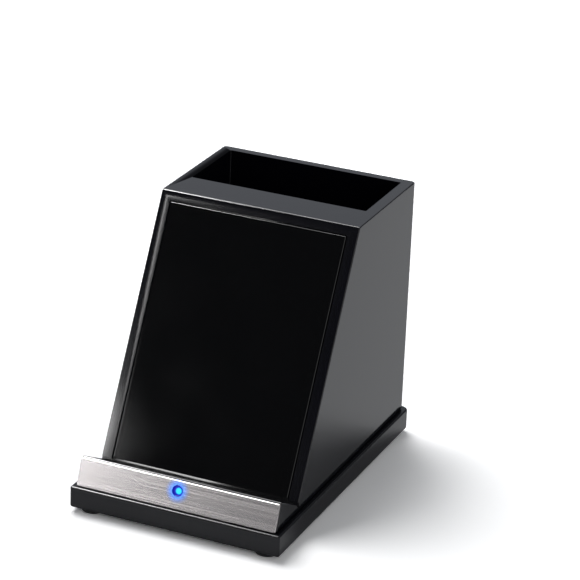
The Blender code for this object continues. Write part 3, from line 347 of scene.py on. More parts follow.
keep = add(tree, "ShaderNodeMath", {0: 1.0, 1: lost.outputs[0]}, operation="SUBTRACT")
# The sole's middle is pushed up into a shallow dish.
flat = add(tree, "ShaderNodeCombineXYZ", {"X": axes.outputs["X"], "Y": axes.outputs["Y"]})
reach = add(tree, "ShaderNodeVectorMath", {0: flat.outputs["Vector"]}, operation="LENGTH")
dish = add(tree, "ShaderNodeMapRange", {
    "Value": reach.outputs["Value"], "From Min": 0.0, "From Max": given["Dish Radius"],
    "To Min": given["Dish Depth"], "To Max": 0.0,
}, interpolation_type="SMOOTHSTEP")
sole = add(tree, "FunctionNodeCompare", {
    0: rise.outputs[0], 1: SOLE_BAND,
}, data_type="FLOAT", operation="LESS_THAN")
dent = add(tree, "ShaderNodeMath", {
    0: dish.outputs["Result"], 1: sole.outputs["Result"],
}, operation="MULTIPLY")
height = add(tree, "ShaderNodeMath", {0: rise.outputs[0], 1: dent.outputs[0]}, operation="ADD")
wide = add(tree, "ShaderNodeVectorMath", {
    0: flat.outputs["Vector"], "Scale": keep.outputs[0],
}, operation="SCALE")
apart = add(tree, "ShaderNodeSeparateXYZ", {"Vector": wide.outputs["Vector"]})
moved = add(tree, "ShaderNodeCombineXYZ", {
    "X": apart.outputs["X"], "Y": apart.outputs["Y"], "Z": height.outputs[0],
})
formed = add(tree, "GeometryNodeSetPosition", {
    "Geometry": disc.outputs["Mesh"], "Position": moved.outputs["Vector"],
})
planted = add(tree, "GeometryNodeInstanceOnPoints", {
    "Points": given["Places"], "Instance": formed.outputs["Geometry"],
})
end_tree(tree, planted.outputs["Instances"], given["Finish"])

# Moulded rubber: nearly black, matt, with a fine even grain and a trace of dust.
RUBBER_GRAIN = 0.00025
rubber, leaf = start_finish("matt_moulded_rubber")
grain = add(leaf, "ShaderNodeTexNoise", {
    "Vector": place_of(leaf, size=RUBBER_GRAIN), "Scale": 1.0, "Detail": 3.0,
})
dust = add(leaf, "ShaderNodeMix", {
    "Factor": grain.outputs["Fac"], 6: linear("#0e0e0f"), 7: linear("#1c1c1d"),
}, data_type="RGBA")
pits = add(leaf, "ShaderNodeBump", {"Height": grain.outputs["Fac"], "Strength": 0.6, "Distance": 0.00002})
shader = add(leaf, "ShaderNodeBsdfPrincipled", {
    "Base Color": dust.outputs[2], "Roughness": 0.72, "IOR": 1.45, "Normal": pits.outputs["Normal"],
})
add(leaf, "ShaderNodeOutputMaterial", {"Surface": shader.outputs["BSDF"]})

FEET = ("foot_front_left", "foot_front_right", "foot_rear_left", "foot_rear_right")
boxes = [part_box(foot) for foot in FEET]
low, high = boxes[0]
feet = grown("rubber_feet", tree, [((a.x + b.x) / 2, (a.y + b.y) / 2, 0) for a, b in boxes], {
    "Foot Radius": (high.x - low.x) / 2, "Foot Height": high.z - low.z, "Foot Edge": FOOT_EDGE,
    "Dish Radius": DISH_RADIUS, "Dish Depth": DISH_DEPTH, "Finish": rubber,
})
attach(feet, "root")
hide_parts(*FEET)

# Housing
# The wedge-shaped shell: one high-gloss black ABS moulding with the open cup, the side rails, the ledge
# and the leaning lip. It stands in from the tray's edge all round and is screwed to it from below.
# Its reflection is clear and only slightly uneven.
housing_abs = moulded("gloss_moulded_abs", ABS_BLACK, roughness=(0.08, 0.12), cloud=0.045, ripple=0.0030,
                      ripple_height=0.0000012)
housing = smooth_copy("body_shell", "housing_moulding")
housing.data.materials.append(housing_abs)
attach(housing, "root")
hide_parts("body_shell")

# Charge panel
# The insert of the sloping front, over the coils: a sheet of polished black acrylic with eased edges,
# held from behind by the coil carrier's screws.
acrylic = moulded("polished_black_acrylic", "#060607", roughness=(0.035, 0.075), cloud=0.025,
                  ripple=0.0060, ripple_height=0.0000010)
panel = smooth_copy("charge_panel", "panel_sheet")
panel.data.materials.append(acrylic)
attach(panel, "root")
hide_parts("charge_panel")

# Ledge pad
# The strip in the ledge at the panel's foot, between the same two grooves: the same glossy black, a
# touch softer.
pad_gloss = moulded("gloss_black_strip", "#070708", roughness=(0.09, 0.14), cloud=0.020, ripple=0.0030,
                    ripple_height=0.0000015)
pad = smooth_copy("ledge_pad", "pad_strip")
pad.data.materials.append(pad_gloss)
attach(pad, "root")
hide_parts("ledge_pad")

# Trim plate
# A strip of stainless steel brushed along its length, with a hole for the lamp. The lamp's blue light
# on the metal round the hole is painted glow: a blue tint in the metal's colour and a blue emission,
# both fading out from the lens. The brushing is 0.1 mm fine on the real plate and is drawn at 0.5 mm
# so that it shows, in tone and gloss.
LIP_LEAN = math.radians(20)
LIP_FOOT = Vector((0, -0.0637067, 0.0113))
LAMP_TO_FACE = 0.0047     # from the lamp's middle to the plate's face
LENS_RADIUS = 0.0020
FINE_STREAK = (0.060, 0.0005, 0.0005)
BROAD_STREAK = (0.040, 0.0022, 0.0022)
# The painted blue glow round the lens: how far out it reaches, and how much of the plate's colour it takes.
PAINTED_GLOW_REACH = 2.6         # in radii of the lens
PAINTED_GLOW_SHARE = 0.85        # of the plate's colour, in the middle
off_lip = Vector((0, -math.cos(LIP_LEAN), math.sin(LIP_LEAN)))
low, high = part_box("indicator_led")
lens_middle = (low + high) / 2 + off_lip * LAMP_TO_FACE
lip_turn = (math.pi / 2 - LIP_LEAN, 0, 0)

brushed, tree = start_finish("brushed_steel_with_painted_glow")
fine = add(tree, "ShaderNodeTexNoise", {
    "Vector": place_of(tree, size=FINE_STREAK), "Scale": 1.0, "Detail": 1.0,
})
broad = add(tree, "ShaderNodeTexNoise", {
    "Vector": place_of(tree, size=BROAD_STREAK), "Scale": 1.0, "Detail": 2.0,
})
tone = add(tree, "ShaderNodeMix", {
    "Factor": fine.outputs["Fac"], 6: linear("#aeaaab"), 7: linear("#c7c2c1"),
}, data_type="RGBA")
tint = add(tree, "ShaderNodeMix", {
    "Factor": 0.22, 6: tone.outputs[2],
    7: add(tree, "ShaderNodeValToRGB", {"Fac": broad.outputs["Fac"]}).outputs["Color"],
}, data_type="RGBA", blend_type="SOFT_LIGHT")
worn = add(tree, "ShaderNodeMapRange", {
    "Value": fine.outputs["Fac"], "From Min": 0.25, "From Max": 0.75, "To Min": 0.24, "To Max": 0.28,
})
reach = add(tree, "ShaderNodeVectorMath", {
    0: place_of(tree, lens_middle, lip_turn, LENS_RADIUS),
}, operation="LENGTH")
# Painted glow: near the lens the metal's colour is tinted blue and the metal itself gives off blue light.
near = add(tree, "ShaderNodeMapRange", {
    "Value": reach.outputs["Value"], "From Min": 1.0, "From Max": PAINTED_GLOW_REACH,
    "To Min": PAINTED_GLOW_SHARE, "To Max": 0.0,
})
painted_glow_strength = add(tree, "ShaderNodeMath", {0: near.outputs["Result"], 1: 2.0}, operation="POWER")
painted_glow_colour = add(tree, "ShaderNodeMix", {
    "Factor": near.outputs["Result"], 6: tint.outputs[2], 7: linear("#5090ff"),
}, data_type="RGBA")
tangent = add(tree, "ShaderNodeTangent", direction_type="RADIAL", axis="X")
shader = add(tree, "ShaderNodeBsdfPrincipled", {
    "Base Color": painted_glow_colour.outputs[2], "Metallic": 1.0, "Roughness": worn.outputs["Result"],
    "Anisotropic": 0.55, "Tangent": tangent.outputs["Tangent"],
    # The painted glow: the metal gives off blue light round the lens, though it is no lamp.
    "Emission Color": linear("#3f95ff"), "Emission Strength": painted_glow_strength.outputs["Value"],
})
add(tree, "ShaderNodeOutputMaterial", {"Surface": shader.outputs["BSDF"]})
trim = smooth_copy("trim_plate", "trim_strip")
trim.data.materials.append(brushed)
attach(trim, "root")
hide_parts("trim_plate")

# Indicator lens
# A frosted blue polycarbonate light pipe, lit from behind: a proud ring round a shallow dish with a
# small dome. The lamp sits a little to the right, so the pale core is off the middle of the blue.
GLOW_ASIDE = Vector((0.00050, 0, 0))
WELL_RADIUS = 0.00180
WELL_DEPTH = 0.00035
RING_RADIUS = 0.0022
RING_PROUD = 0.00025
RING_DEPTH = 0.0009
LENS_TAIL = 0.0038
DOME = ((0.80, 0.85), (0.45, 0.72), (0.0, 0.68))    # shares of the well's radius and depth
TURNED_SIDES = 48


def turned(bm, profile, sides, frame_matrix):
    """Closed turned shape about a frame's Z axis, from (radius, height) pairs, poles at both ends."""
    rings = []
    for radius, height in profile:
        count = sides if radius else 1
        angles = [2 * math.pi * k / count for k in range(count)]
        rings.append([
            bm.verts.new(frame_matrix @ Vector((radius * math.cos(a), radius * math.sin(a), height)))
            for a in angles
        ])
    for lower, upper in zip(rings, rings[1:]):
        for k in range(sides):
            corners = [lower[k % len(lower)], lower[(k + 1) % len(lower)],
                       upper[(k + 1) % len(upper)], upper[k % len(upper)]]
            bm.faces.new(list(dict.fromkeys(corners)))
    bmesh.ops.recalc_face_normals(bm, faces=bm.faces)


def shaped(name, bm, material):
    """Makes the piece from its mesh, with its round faces shaded smooth."""
    mesh = bpy.data.meshes.new(name)
    bm.to_mesh(mesh)
    bm.free()
    mesh.shade_smooth()
    mesh.set_sharp_from_angle(angle=EDGE_ANGLE)
    mesh.materials.append(material)
    made = bpy.data.objects.new(name, mesh)
    scene.collection.objects.link(made)
    return made


lit_blue, tree = start_finish("lit_blue_polycarbonate")
flat = add(tree, "ShaderNodeVectorMath", {
    0: place_of(tree, lens_middle + GLOW_ASIDE, lip_turn, RING_RADIUS), 1: (1, 1, 0),
}, operation="MULTIPLY")
reach = add(tree, "ShaderNodeVectorMath", {0: flat.outputs["Vector"]}, operation="LENGTH")
glow = add(tree, "ShaderNodeValToRGB", {"Fac": reach.outputs["Value"]})
for stop, code in ((0.46, "#34ecff"), (0.58, "#1490ff"), (0.66, "#0018c8")):
    glow.color_ramp.elements.new(stop).color = linear(code)
glow.color_ramp.elements[0].color = linear("#38f0f4")
glow.color_ramp.elements[-1].color = linear("#0010a0")
shader = add(tree, "ShaderNodeBsdfPrincipled", {
    "Base Color": linear("#040a38"), "Roughness": 0.42, "IOR": 1.58, "Specular IOR Level": 0.2,
    "Emission Color": glow.outputs["Color"], "Emission Strength": 1.0,
})
add(tree, "ShaderNodeOutputMaterial", {"Surface": shader.outputs["BSDF"]})
profile = [
    (0, -LENS_TAIL), (LENS_RADIUS, -LENS_TAIL), (LENS_RADIUS, -RING_DEPTH), (RING_RADIUS, -RING_DEPTH),
    (RING_RADIUS, RING_PROUD / 2), (RING_RADIUS - RING_PROUD / 2, RING_PROUD),
    (WELL_RADIUS + RING_PROUD, RING_PROUD), (WELL_RADIUS, 0), (WELL_RADIUS, -WELL_DEPTH),
] + [(WELL_RADIUS * across, -WELL_DEPTH * down) for across, down in DOME]
bm = bmesh.new()
turned(bm, profile, TURNED_SIDES, Matrix.Translation(lens_middle) @ Matrix.Rotation(lip_turn[0], 4, "X"))
lens_piece = shaped("lens_window", bm, lit_blue)
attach(lens_piece, "root")
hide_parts("indicator_lens")

# Indicator board and lamp
# A strip of glass-fibre board on two bosses behind the lip, with one blue lamp in a white nylon body.
# The main board and the headers of the leads have the same two finishes.
TRACK_PITCH = 0.0012


def finish_nodes(names, material):
    """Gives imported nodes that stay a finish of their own."""
    for name in names:
        for held in nodes[name].material_slots:
            held.material = material


# Green solder mask over etched copper: glossy, with slightly paler tracks 0.3 mm wide, 1.2 mm apart.
mask, tree = start_finish("solder_mask_on_glass_fibre")
tracks = add(tree, "ShaderNodeTexBrick", {
    "Vector": place_of(tree, size=TRACK_PITCH), "Scale": 1.0,
    "Color1": linear("#0d4a26"), "Color2": linear("#0a3f20"), "Mortar": linear("#1d6a3a"),
    "Mortar Size": 0.12, "Brick Width": 5.0, "Row Height": 1.0,
}, offset=0.37)
edges = add(tree, "ShaderNodeBump", {
    "Height": tracks.outputs["Fac"], "Strength": 0.4, "Distance": 0.00004,
})
shader = add(tree, "ShaderNodeBsdfPrincipled", {
    "Base Color": tracks.outputs["Color"], "Roughness": 0.34, "IOR": 1.55,
    "Normal": edges.outputs["Normal"],
})
add(tree, "ShaderNodeOutputMaterial", {"Surface": shader.outputs["BSDF"]})
# White nylon: slightly warm, with a soft satin skin.
nylon = moulded("white_moulded_nylon", "#d8d4c8", roughness=(0.42, 0.55), cloud=0.006, ripple=0.0008,
                ripple_height=0.000004)
finish_nodes(("indicator_board", "main_board"), mask)
finish_nodes(("indicator_led", "coil_header", "lamp_header"), nylon)

# Coil carrier
# The plate that clamps the panel, the coils and the ferrite together: glass-filled nylon, moulded,
# matt, with short pale fibres in its skin. The fibres are 0.01 mm thick and are drawn at 0.12 mm.
FIBRE = (0.0009, 0.00012, 0.0004)
filled, tree = start_finish("glass_filled_nylon")
fibres = add(tree, "ShaderNodeTexNoise", {
    "Vector": place_of(tree, size=FIBRE), "Scale": 1.0, "Detail": 2.0,
})
flecks = add(tree, "ShaderNodeMapRange", {
    "Value": fibres.outputs["Fac"], "From Min": 0.55, "From Max": 0.75, "To Min": 0.0, "To Max": 1.0,
})
greys = add(tree, "ShaderNodeMix", {
    "Factor": flecks.outputs["Result"], 6: linear("#36373a"), 7: linear("#4d4f52"),
}, data_type="RGBA")
shader = add(tree, "ShaderNodeBsdfPrincipled", {
    "Base Color": greys.outputs[2], "Roughness": 0.58, "IOR": 1.53,
})
add(tree, "ShaderNodeOutputMaterial", {"Surface": shader.outputs["BSDF"]})
carrier = smooth_copy("coil_carrier", "carrier_plate")
carrier.data.materials.append(filled)
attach(carrier, "root")
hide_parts("coil_carrier")

# Ferrite sheet
# Sintered manganese-zinc ferrite, scored into 4 mm tiles so that it may flex: dark grey, dry and matt.
# It lies behind the coils and keeps their field off the board.
TILE = 0.004
PANEL_LEAN = math.radians(27)
panel_turn = (math.pi / 2 - PANEL_LEAN, 0, 0)
ferrite, tree = start_finish("sintered_ferrite")
tiles = add(tree, "ShaderNodeTexBrick", {
    "Vector": place_of(tree, turn=panel_turn, size=TILE), "Scale": 1.0,
    "Color1": linear("#3a3a3e"), "Color2": linear("#333337"), "Mortar": linear("#1c1c1e"),
    "Mortar Size": 0.02, "Brick Width": 1.0, "Row Height": 1.0,
}, offset=0.0)
shader = add(tree, "ShaderNodeBsdfPrincipled", {
    "Base Color": tiles.outputs["Color"], "Roughness": 0.62, "IOR": 1.6,
})
add(tree, "ShaderNodeOutputMaterial", {"Surface": shader.outputs["BSDF"]})
finish_nodes(("ferrite_sheet",), ferrite)

# Charging coils
# Two overlapping flat spirals of litz wire: a bundle of enamelled copper strands, twisted, wound from
# the inner turn outwards and laid in the carrier. The strands are drawn as six, twisted once in 9 mm.
VALLEY = Vector((0, -0.0440249, 0.0143))  # where the sloping front meets the ledge
COIL_MIDDLES = (0.0397818, 0.0667818)     # up the sloping front
COIL_LEVELS = (-0.0028, -0.0041)          # behind its face
COIL_INNER = 0.0112
COIL_OUTER = 0.0217
COIL_TURNS = 7.0
COIL_STEPS = 144          # in a turn
COIL_WIRE = 0.00053
STRANDS = 6
STRAND_PITCH = 0.009
STRAND_HOLLOW = 0.85      # of the wire's radius, between two strands
ROUND_ANGLE = math.radians(80)
tree, given = start_tree("flat_winding", {
    "Inner Radius": "Float", "Outer Radius": "Float", "Turns": "Float", "Wire Radius": "Float",
    "Strand Pitch": "Float", "Middle": "Vector", "Foot": "Vector", "Lean": "Vector",
})
spiral = add(tree, "GeometryNodeCurveSpiral", {
    "Resolution": COIL_STEPS, "Rotations": given["Turns"], "Start Radius": given["Inner Radius"],
    "End Radius": given["Outer Radius"], "Height": 0.0, "Reverse": True,
})
along = add(tree, "GeometryNodeSplineParameter")
twists = add(tree, "ShaderNodeMath", {
    0: along.outputs["Length"], 1: given["Strand Pitch"],
}, operation="DIVIDE")
angle = add(tree, "ShaderNodeMath", {0: twists.outputs[0], 1: 2 * math.pi}, operation="MULTIPLY")
laid = add(tree, "GeometryNodeSetCurveTilt", {"Curve": spiral.outputs["Curve"], "Tilt": angle.outputs[0]})
inner = add(tree, "ShaderNodeMath", {0: given["Wire Radius"], 1: STRAND_HOLLOW}, operation="MULTIPLY")
bundle = add(tree, "GeometryNodeCurveStar", {
    "Points": STRANDS, "Inner Radius": inner.outputs[0], "Outer Radius": given["Wire Radius"],
})
swept = add(tree, "GeometryNodeCurveToMesh", {
    "Curve": laid.outputs["Curve"], "Profile Curve": bundle.outputs["Curve"], "Fill Caps": True,
})
raised = add(tree, "GeometryNodeTransform", {
    "Geometry": swept.outputs["Mesh"], "Translation": given["Middle"],
})
leant = add(tree, "GeometryNodeTransform", {
    "Geometry": raised.outputs["Geometry"], "Translation": given["Foot"], "Rotation": given["Lean"],
})
end_tree(tree, leant.outputs["Geometry"], given["Finish"])

# Enamelled copper: warm metal under a clear amber varnish, its tone drifting along the winding.
VARNISH_DRIFT = 0.0020
litz, leaf = start_finish("enamelled_copper_litz")
varnish = add(leaf, "ShaderNodeTexNoise", {
    "Vector": place_of(leaf, size=VARNISH_DRIFT), "Scale": 1.0, "Detail": 3.0,
})
warm = add(leaf, "ShaderNodeMix", {
    "Factor": varnish.outputs["Fac"], 6: linear("#8a4a26"), 7: linear("#c27a48"),
}, data_type="RGBA")
shader = add(leaf, "ShaderNodeBsdfPrincipled", {
    "Base Color": warm.outputs[2], "Metallic": 1.0, "Roughness": 0.36, "Coat Weight": 0.6,
    "Coat Roughness": 0.12, "Coat IOR": 1.55, "Coat Tint": linear("#f0c080"),
})
add(leaf, "ShaderNodeOutputMaterial", {"Surface": shader.outputs["BSDF"]})
for node, middle, level in zip(("coil_lower", "coil_upper"), COIL_MIDDLES, COIL_LEVELS):
    coil = grown(node + "_winding", tree, [(0, 0, 0)], {
        "Inner Radius": COIL_INNER, "Outer Radius": COIL_OUTER, "Turns": COIL_TURNS,
        "Wire Radius": COIL_WIRE, "Strand Pitch": STRAND_PITCH, "Middle": (0, middle, level),
        "Foot": tuple(VALLEY), "Lean": panel_turn, "Finish": litz,
    }, smooth_angle=ROUND_ANGLE)
    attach(coil, "root")
    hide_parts(node)

# Board parts
# What is soldered on the main board: epoxy-moulded chips and fired ceramic capacitors, both on tinned
# legs, and a choke pressed from iron powder.
LEG = {"Leg Width": 0.0004, "Leg Reach": 0.0009, "Leg Rise": 0.0008, "Leg Thickness": 0.00015}
LEGS_A_SIDE = {
    "controller_chip": 8, "bridge_chip_left": 6, "bridge_chip_right": 6,
    "capacitor_front": 3, "capacitor_middle": 3, "capacitor_rear": 3,
}
epoxy = moulded("moulded_epoxy", "#17171a", roughness=(0.46, 0.60), cloud=0.004, ripple=0.0003,
                ripple_height=0.000006)
ceramic = moulded("fired_ceramic", "#a9875c", roughness=(0.40, 0.52), cloud=0.003, ripple=0.0004,
                  ripple_height=0.000004)
powder = moulded("pressed_iron_powder", "#4a4a4e", roughness=(0.55, 0.70), cloud=0.002, ripple=0.0003,
                 ripple_height=0.000012)
finish_nodes(("controller_chip", "bridge_chip_left", "bridge_chip_right"), epoxy)
finish_nodes(("capacitor_front", "capacitor_middle", "capacitor_rear"), ceramic)
finish_nodes(("power_inductor",), powder)

tree, given = start_tree("gull_wing_leg", {
    "Leg Width": "Float", "Leg Reach": "Float", "Leg Rise": "Float", "Leg Thickness": "Float",
})
pad_size = add(tree, "ShaderNodeCombineXYZ", {
    "X": given["Leg Reach"], "Y": given["Leg Width"], "Z": given["Leg Thickness"],
})
step_size = add(tree, "ShaderNodeCombineXYZ", {
    "X": given["Leg Thickness"], "Y": given["Leg Width"], "Z": given["Leg Rise"],
})
half_reach = add(tree, "ShaderNodeMath", {0: given["Leg Reach"], 1: 0.5}, operation="MULTIPLY")
half_rise = add(tree, "ShaderNodeMath", {0: given["Leg Rise"], 1: 0.5}, operation="MULTIPLY")
half_thick = add(tree, "ShaderNodeMath", {0: given["Leg Thickness"], 1: 0.5}, operation="MULTIPLY")
pad_at = add(tree, "ShaderNodeCombineXYZ", {"X": half_reach.outputs[0], "Z": half_thick.outputs[0]})
step_at = add(tree, "ShaderNodeCombineXYZ", {"X": half_thick.outputs[0], "Z": half_rise.outputs[0]})
pad_block = add(tree, "GeometryNodeMeshCube", {"Size": pad_size.outputs["Vector"]})
step_block = add(tree, "GeometryNodeMeshCube", {"Size": step_size.outputs["Vector"]})
pad_put = add(tree, "GeometryNodeTransform", {
    "Geometry": pad_block.outputs["Mesh"], "Translation": pad_at.outputs["Vector"],
})
step_put = add(tree, "GeometryNodeTransform", {
    "Geometry": step_block.outputs["Mesh"], "Translation": step_at.outputs["Vector"],
})
leg = add(tree, "GeometryNodeJoinGeometry", {
    "Geometry": [pad_put.outputs["Geometry"], step_put.outputs["Geometry"]],
})
turn = add(tree, "GeometryNodeInputNamedAttribute", {"Name": "turn"}, data_type="FLOAT")
spin = add(tree, "ShaderNodeCombineXYZ", {"Z": turn.outputs["Attribute"]})
around = add(tree, "FunctionNodeEulerToRotation", {"Euler": spin.outputs["Vector"]})
planted = add(tree, "GeometryNodeInstanceOnPoints", {
    "Points": given["Places"], "Instance": leg.outputs["Geometry"], "Rotation": around.outputs["Rotation"],
})
end_tree(tree, planted.outputs["Instances"], given["Finish"])

# Tinned copper: bright, slightly soft from the molten solder.
SOLDER_POOL = 0.0006
tinned, leaf = start_finish("tinned_copper")
pooled = add(leaf, "ShaderNodeTexNoise", {
    "Vector": place_of(leaf, size=SOLDER_POOL), "Scale": 1.0, "Detail": 2.0,
})
dull = add(leaf, "ShaderNodeMapRange", {"Value": pooled.outputs["Fac"], "To Min": 0.22, "To Max": 0.40})
shader = add(leaf, "ShaderNodeBsdfPrincipled", {
    "Base Color": linear("#c9c9c6"), "Metallic": 1.0, "Roughness": dull.outputs["Result"],
})
add(leaf, "ShaderNodeOutputMaterial", {"Surface": shader.outputs["BSDF"]})
board_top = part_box("main_board")[1].z
places = []
for legged, count in LEGS_A_SIDE.items():
    low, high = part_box(legged)
    for k in range(count):
        y = low.y + (high.y - low.y) * (k + 0.5) / count
        places += [(high.x, y, board_top, 0.0), (low.x, y, board_top, math.pi)]
legs = grown("board_legs", tree, places, {**LEG, "Finish": tinned})
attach(legs, "root")

# Power inlet
# A drawn stainless sleeve round a black moulded tongue, with gold-flashed contacts in two rows of
# twelve on the tongue's faces, and its mouth in a recess of the housing's back.
DRAW_LINE = (0.0002, 0.0060, 0.0002)
drawn, tree = start_finish("drawn_stainless_steel")
lines = add(tree, "ShaderNodeTexNoise", {
    "Vector": place_of(tree, size=DRAW_LINE), "Scale": 1.0, "Detail": 3.0,
})
smear = add(tree, "ShaderNodeMapRange", {"Value": lines.outputs["Fac"], "To Min": 0.20, "To Max": 0.36})
shader = add(tree, "ShaderNodeBsdfPrincipled", {
    "Base Color": linear("#b9b9bb"), "Metallic": 1.0, "Roughness": smear.outputs["Result"],
})
add(tree, "ShaderNodeOutputMaterial", {"Surface": shader.outputs["BSDF"]})
sleeve = smooth_copy("usb_c_shell", "inlet_sleeve")
sleeve.data.materials.append(drawn)
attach(sleeve, "root")
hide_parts("usb_c_shell")
finish_nodes(("usb_c_tongue",), epoxy)

tree, given = start_tree("contact_blade", {"Blade": "Vector"})
blade = add(tree, "GeometryNodeMeshCube", {"Size": given["Blade"]})
planted = add(tree, "GeometryNodeInstanceOnPoints", {
    "Points": given["Places"], "Instance": blade.outputs["Mesh"],
})
end_tree(tree, planted.outputs["Instances"], given["Finish"])

# Gold flash over nickel: a pale yellow metal, bright where the plug has polished it.
RUBBED_LINE = (0.0003, 0.0020, 0.0003)
gold, leaf = start_finish("gold_flashed_contact")
rubbed = add(leaf, "ShaderNodeTexNoise", {
    "Vector": place_of(leaf, size=RUBBED_LINE), "Scale": 1.0, "Detail": 2.0,
})
polish = add(leaf, "ShaderNodeMapRange", {"Value": rubbed.outputs["Fac"], "To Min": 0.16, "To Max": 0.34})
shader = add(leaf, "ShaderNodeBsdfPrincipled", {
    "Base Color": linear("#d9b25c"), "Metallic": 1.0, "Roughness": polish.outputs["Result"],
})
add(leaf, "ShaderNodeOutputMaterial", {"Surface": shader.outputs["BSDF"]})
CONTACTS = 12
CONTACT_PITCH = 0.0005
CONTACT_SETBACK = 0.0004    # from the tongue's tip
TONGUE_HALF = 0.00035       # of its thickness
BLADE = (0.00025, 0.0036, 0.00004)
low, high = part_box("usb_c_tongue")
middle_y = high.y - CONTACT_SETBACK - BLADE[1] / 2
middle_z = (low.z + high.z) / 2
places = [
    ((k - (CONTACTS - 1) / 2) * CONTACT_PITCH, middle_y, middle_z + side * TONGUE_HALF)
    for side in (-1, 1) for k in range(CONTACTS)
]
blades = grown("inlet_contacts", tree, places, {"Blade": BLADE, "Finish": gold})
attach(blades, "root")

# Screws
# Zinc-plated steel screws with domed heads and cross recesses: four hold the tray to the housing from
# below, and small ones hold the coil carrier, the main board and the indicator board.
HEAD_SIDES = 32
HEAD_ROWS = 8
HEAD_CURVE = 2.6          # how late the head's side turns in
HEAD_CROWN = 0.48         # how much narrower its face is than its seat
RECESS_MIDDLE = -0.85     # in heads' heights: the cross is cut 0.65 of a head deep
SHANK_SIDES = 16
THREAD_ROOT = 0.80        # of the shank's radius
SHANK_TIP = 0.45
BIG = {"Head Radius": 0.0027, "Head Height": 0.0011, "Shank Radius": 0.0014, "Length": 0.0095,
       "Thread Pitch": 0.0011, "Thread Rows": 64, "Recess Width": 0.0006}
SMALL = {"Head Radius": 0.0016, "Head Height": 0.0008, "Shank Radius": 0.0008, "Length": 0.0036,
         "Thread Pitch": 0.0006, "Thread Rows": 42, "Recess Width": 0.0004}
tree, given = start_tree("cross_recess_screw", {
    "Head Radius": "Float", "Head Height": "Float", "Shank Radius": "Float", "Length": "Float",
    "Thread Pitch": "Float", "Thread Rows": "Int", "Recess Width": "Float", "Turn": "Vector",
})
head = add(tree, "GeometryNodeMeshCylinder", {
    "Vertices": HEAD_SIDES, "Side Segments": HEAD_ROWS, "Fill Segments": 1,
    "Radius": given["Head Radius"], "Depth": given["Head Height"],
}, fill_type="NGON")
spot = add(tree, "GeometryNodeInputPosition")
axes = add(tree, "ShaderNodeSeparateXYZ", {"Vector": spot.outputs["Position"]})
# The head hangs below its seat and narrows to its face in a dome.
level = add(tree, "ShaderNodeMath", {0: axes.outputs["Z"], 1: given["Head Height"]}, operation="DIVIDE")
down = add(tree, "ShaderNodeMath", {0: 0.5, 1: level.outputs[0]}, operation="SUBTRACT", use_clamp=True)
dome = add(tree, "ShaderNodeMath", {0: down.outputs[0], 1: HEAD_CURVE}, operation="POWER")
less = add(tree, "ShaderNodeMath", {0: dome.outputs[0], 1: HEAD_CROWN}, operation="MULTIPLY")
keep = add(tree, "ShaderNodeMath", {0: 1.0, 1: less.outputs[0]}, operation="SUBTRACT")
sunk = add(tree, "ShaderNodeMath", {0: given["Head Height"], 1: -0.5}, operation="MULTIPLY")
drop = add(tree, "ShaderNodeMath", {0: axes.outputs["Z"], 1: sunk.outputs[0]}, operation="ADD")
across = add(tree, "ShaderNodeMath", {0: axes.outputs["X"], 1: keep.outputs[0]}, operation="MULTIPLY")
deep = add(tree, "ShaderNodeMath", {0: axes.outputs["Y"], 1: keep.outputs[0]}, operation="MULTIPLY")
put = add(tree, "ShaderNodeCombineXYZ", {
    "X": across.outputs[0], "Y": deep.outputs[0], "Z": drop.outputs[0],
})
domed = add(tree, "GeometryNodeSetPosition", {
    "Geometry": head.outputs["Mesh"], "Position": put.outputs["Vector"],
})
# Two crossed bars as long as the head's radius are cut from its face.
slot_size = add(tree, "ShaderNodeCombineXYZ", {
    "X": given["Head Radius"], "Y": given["Recess Width"], "Z": given["Head Height"],
})
cross_size = add(tree, "ShaderNodeCombineXYZ", {
    "X": given["Recess Width"], "Y": given["Head Radius"], "Z": given["Head Height"],
})
below = add(tree, "ShaderNodeMath", {0: given["Head Height"], 1: RECESS_MIDDLE}, operation="MULTIPLY")
slot_at = add(tree, "ShaderNodeCombineXYZ", {"Z": below.outputs[0]})
slot_cube = add(tree, "GeometryNodeMeshCube", {"Size": slot_size.outputs["Vector"]})
cross_cube = add(tree, "GeometryNodeMeshCube", {"Size": cross_size.outputs["Vector"]})
slot_put = add(tree, "GeometryNodeTransform", {
    "Geometry": slot_cube.outputs["Mesh"], "Translation": slot_at.outputs["Vector"],
})
cross_put = add(tree, "GeometryNodeTransform", {
    "Geometry": cross_cube.outputs["Mesh"], "Translation": slot_at.outputs["Vector"],
})
recessed = add(tree, "GeometryNodeMeshBoolean", {
    "Mesh 1": domed.outputs["Geometry"],
    "Mesh 2": [slot_put.outputs["Geometry"], cross_put.outputs["Geometry"]],
}, operation="DIFFERENCE", solver="EXACT")
# The thread runs up the shank as a wave of its radius, and the shank narrows to its tip.
shank = add(tree, "GeometryNodeMeshCylinder", {
    "Vertices": SHANK_SIDES, "Side Segments": given["Thread Rows"], "Fill Segments": 1,
    "Radius": given["Shank Radius"], "Depth": given["Length"],
}, fill_type="NGON")
half = add(tree, "ShaderNodeMath", {0: given["Length"], 1: 0.5}, operation="MULTIPLY")
rise = add(tree, "ShaderNodeMath", {0: axes.outputs["Z"], 1: half.outputs[0]}, operation="ADD")
heading = add(tree, "ShaderNodeMath", {0: axes.outputs["Y"], 1: axes.outputs["X"]}, operation="ARCTAN2")
wind = add(tree, "ShaderNodeMath", {0: rise.outputs[0], 1: given["Thread Pitch"]}, operation="DIVIDE")
wound = add(tree, "ShaderNodeMath", {0: wind.outputs[0], 1: 2 * math.pi}, operation="MULTIPLY")
phase = add(tree, "ShaderNodeMath", {0: wound.outputs[0], 1: heading.outputs[0]}, operation="SUBTRACT")
wave = add(tree, "ShaderNodeMath", {0: phase.outputs[0]}, operation="COSINE")
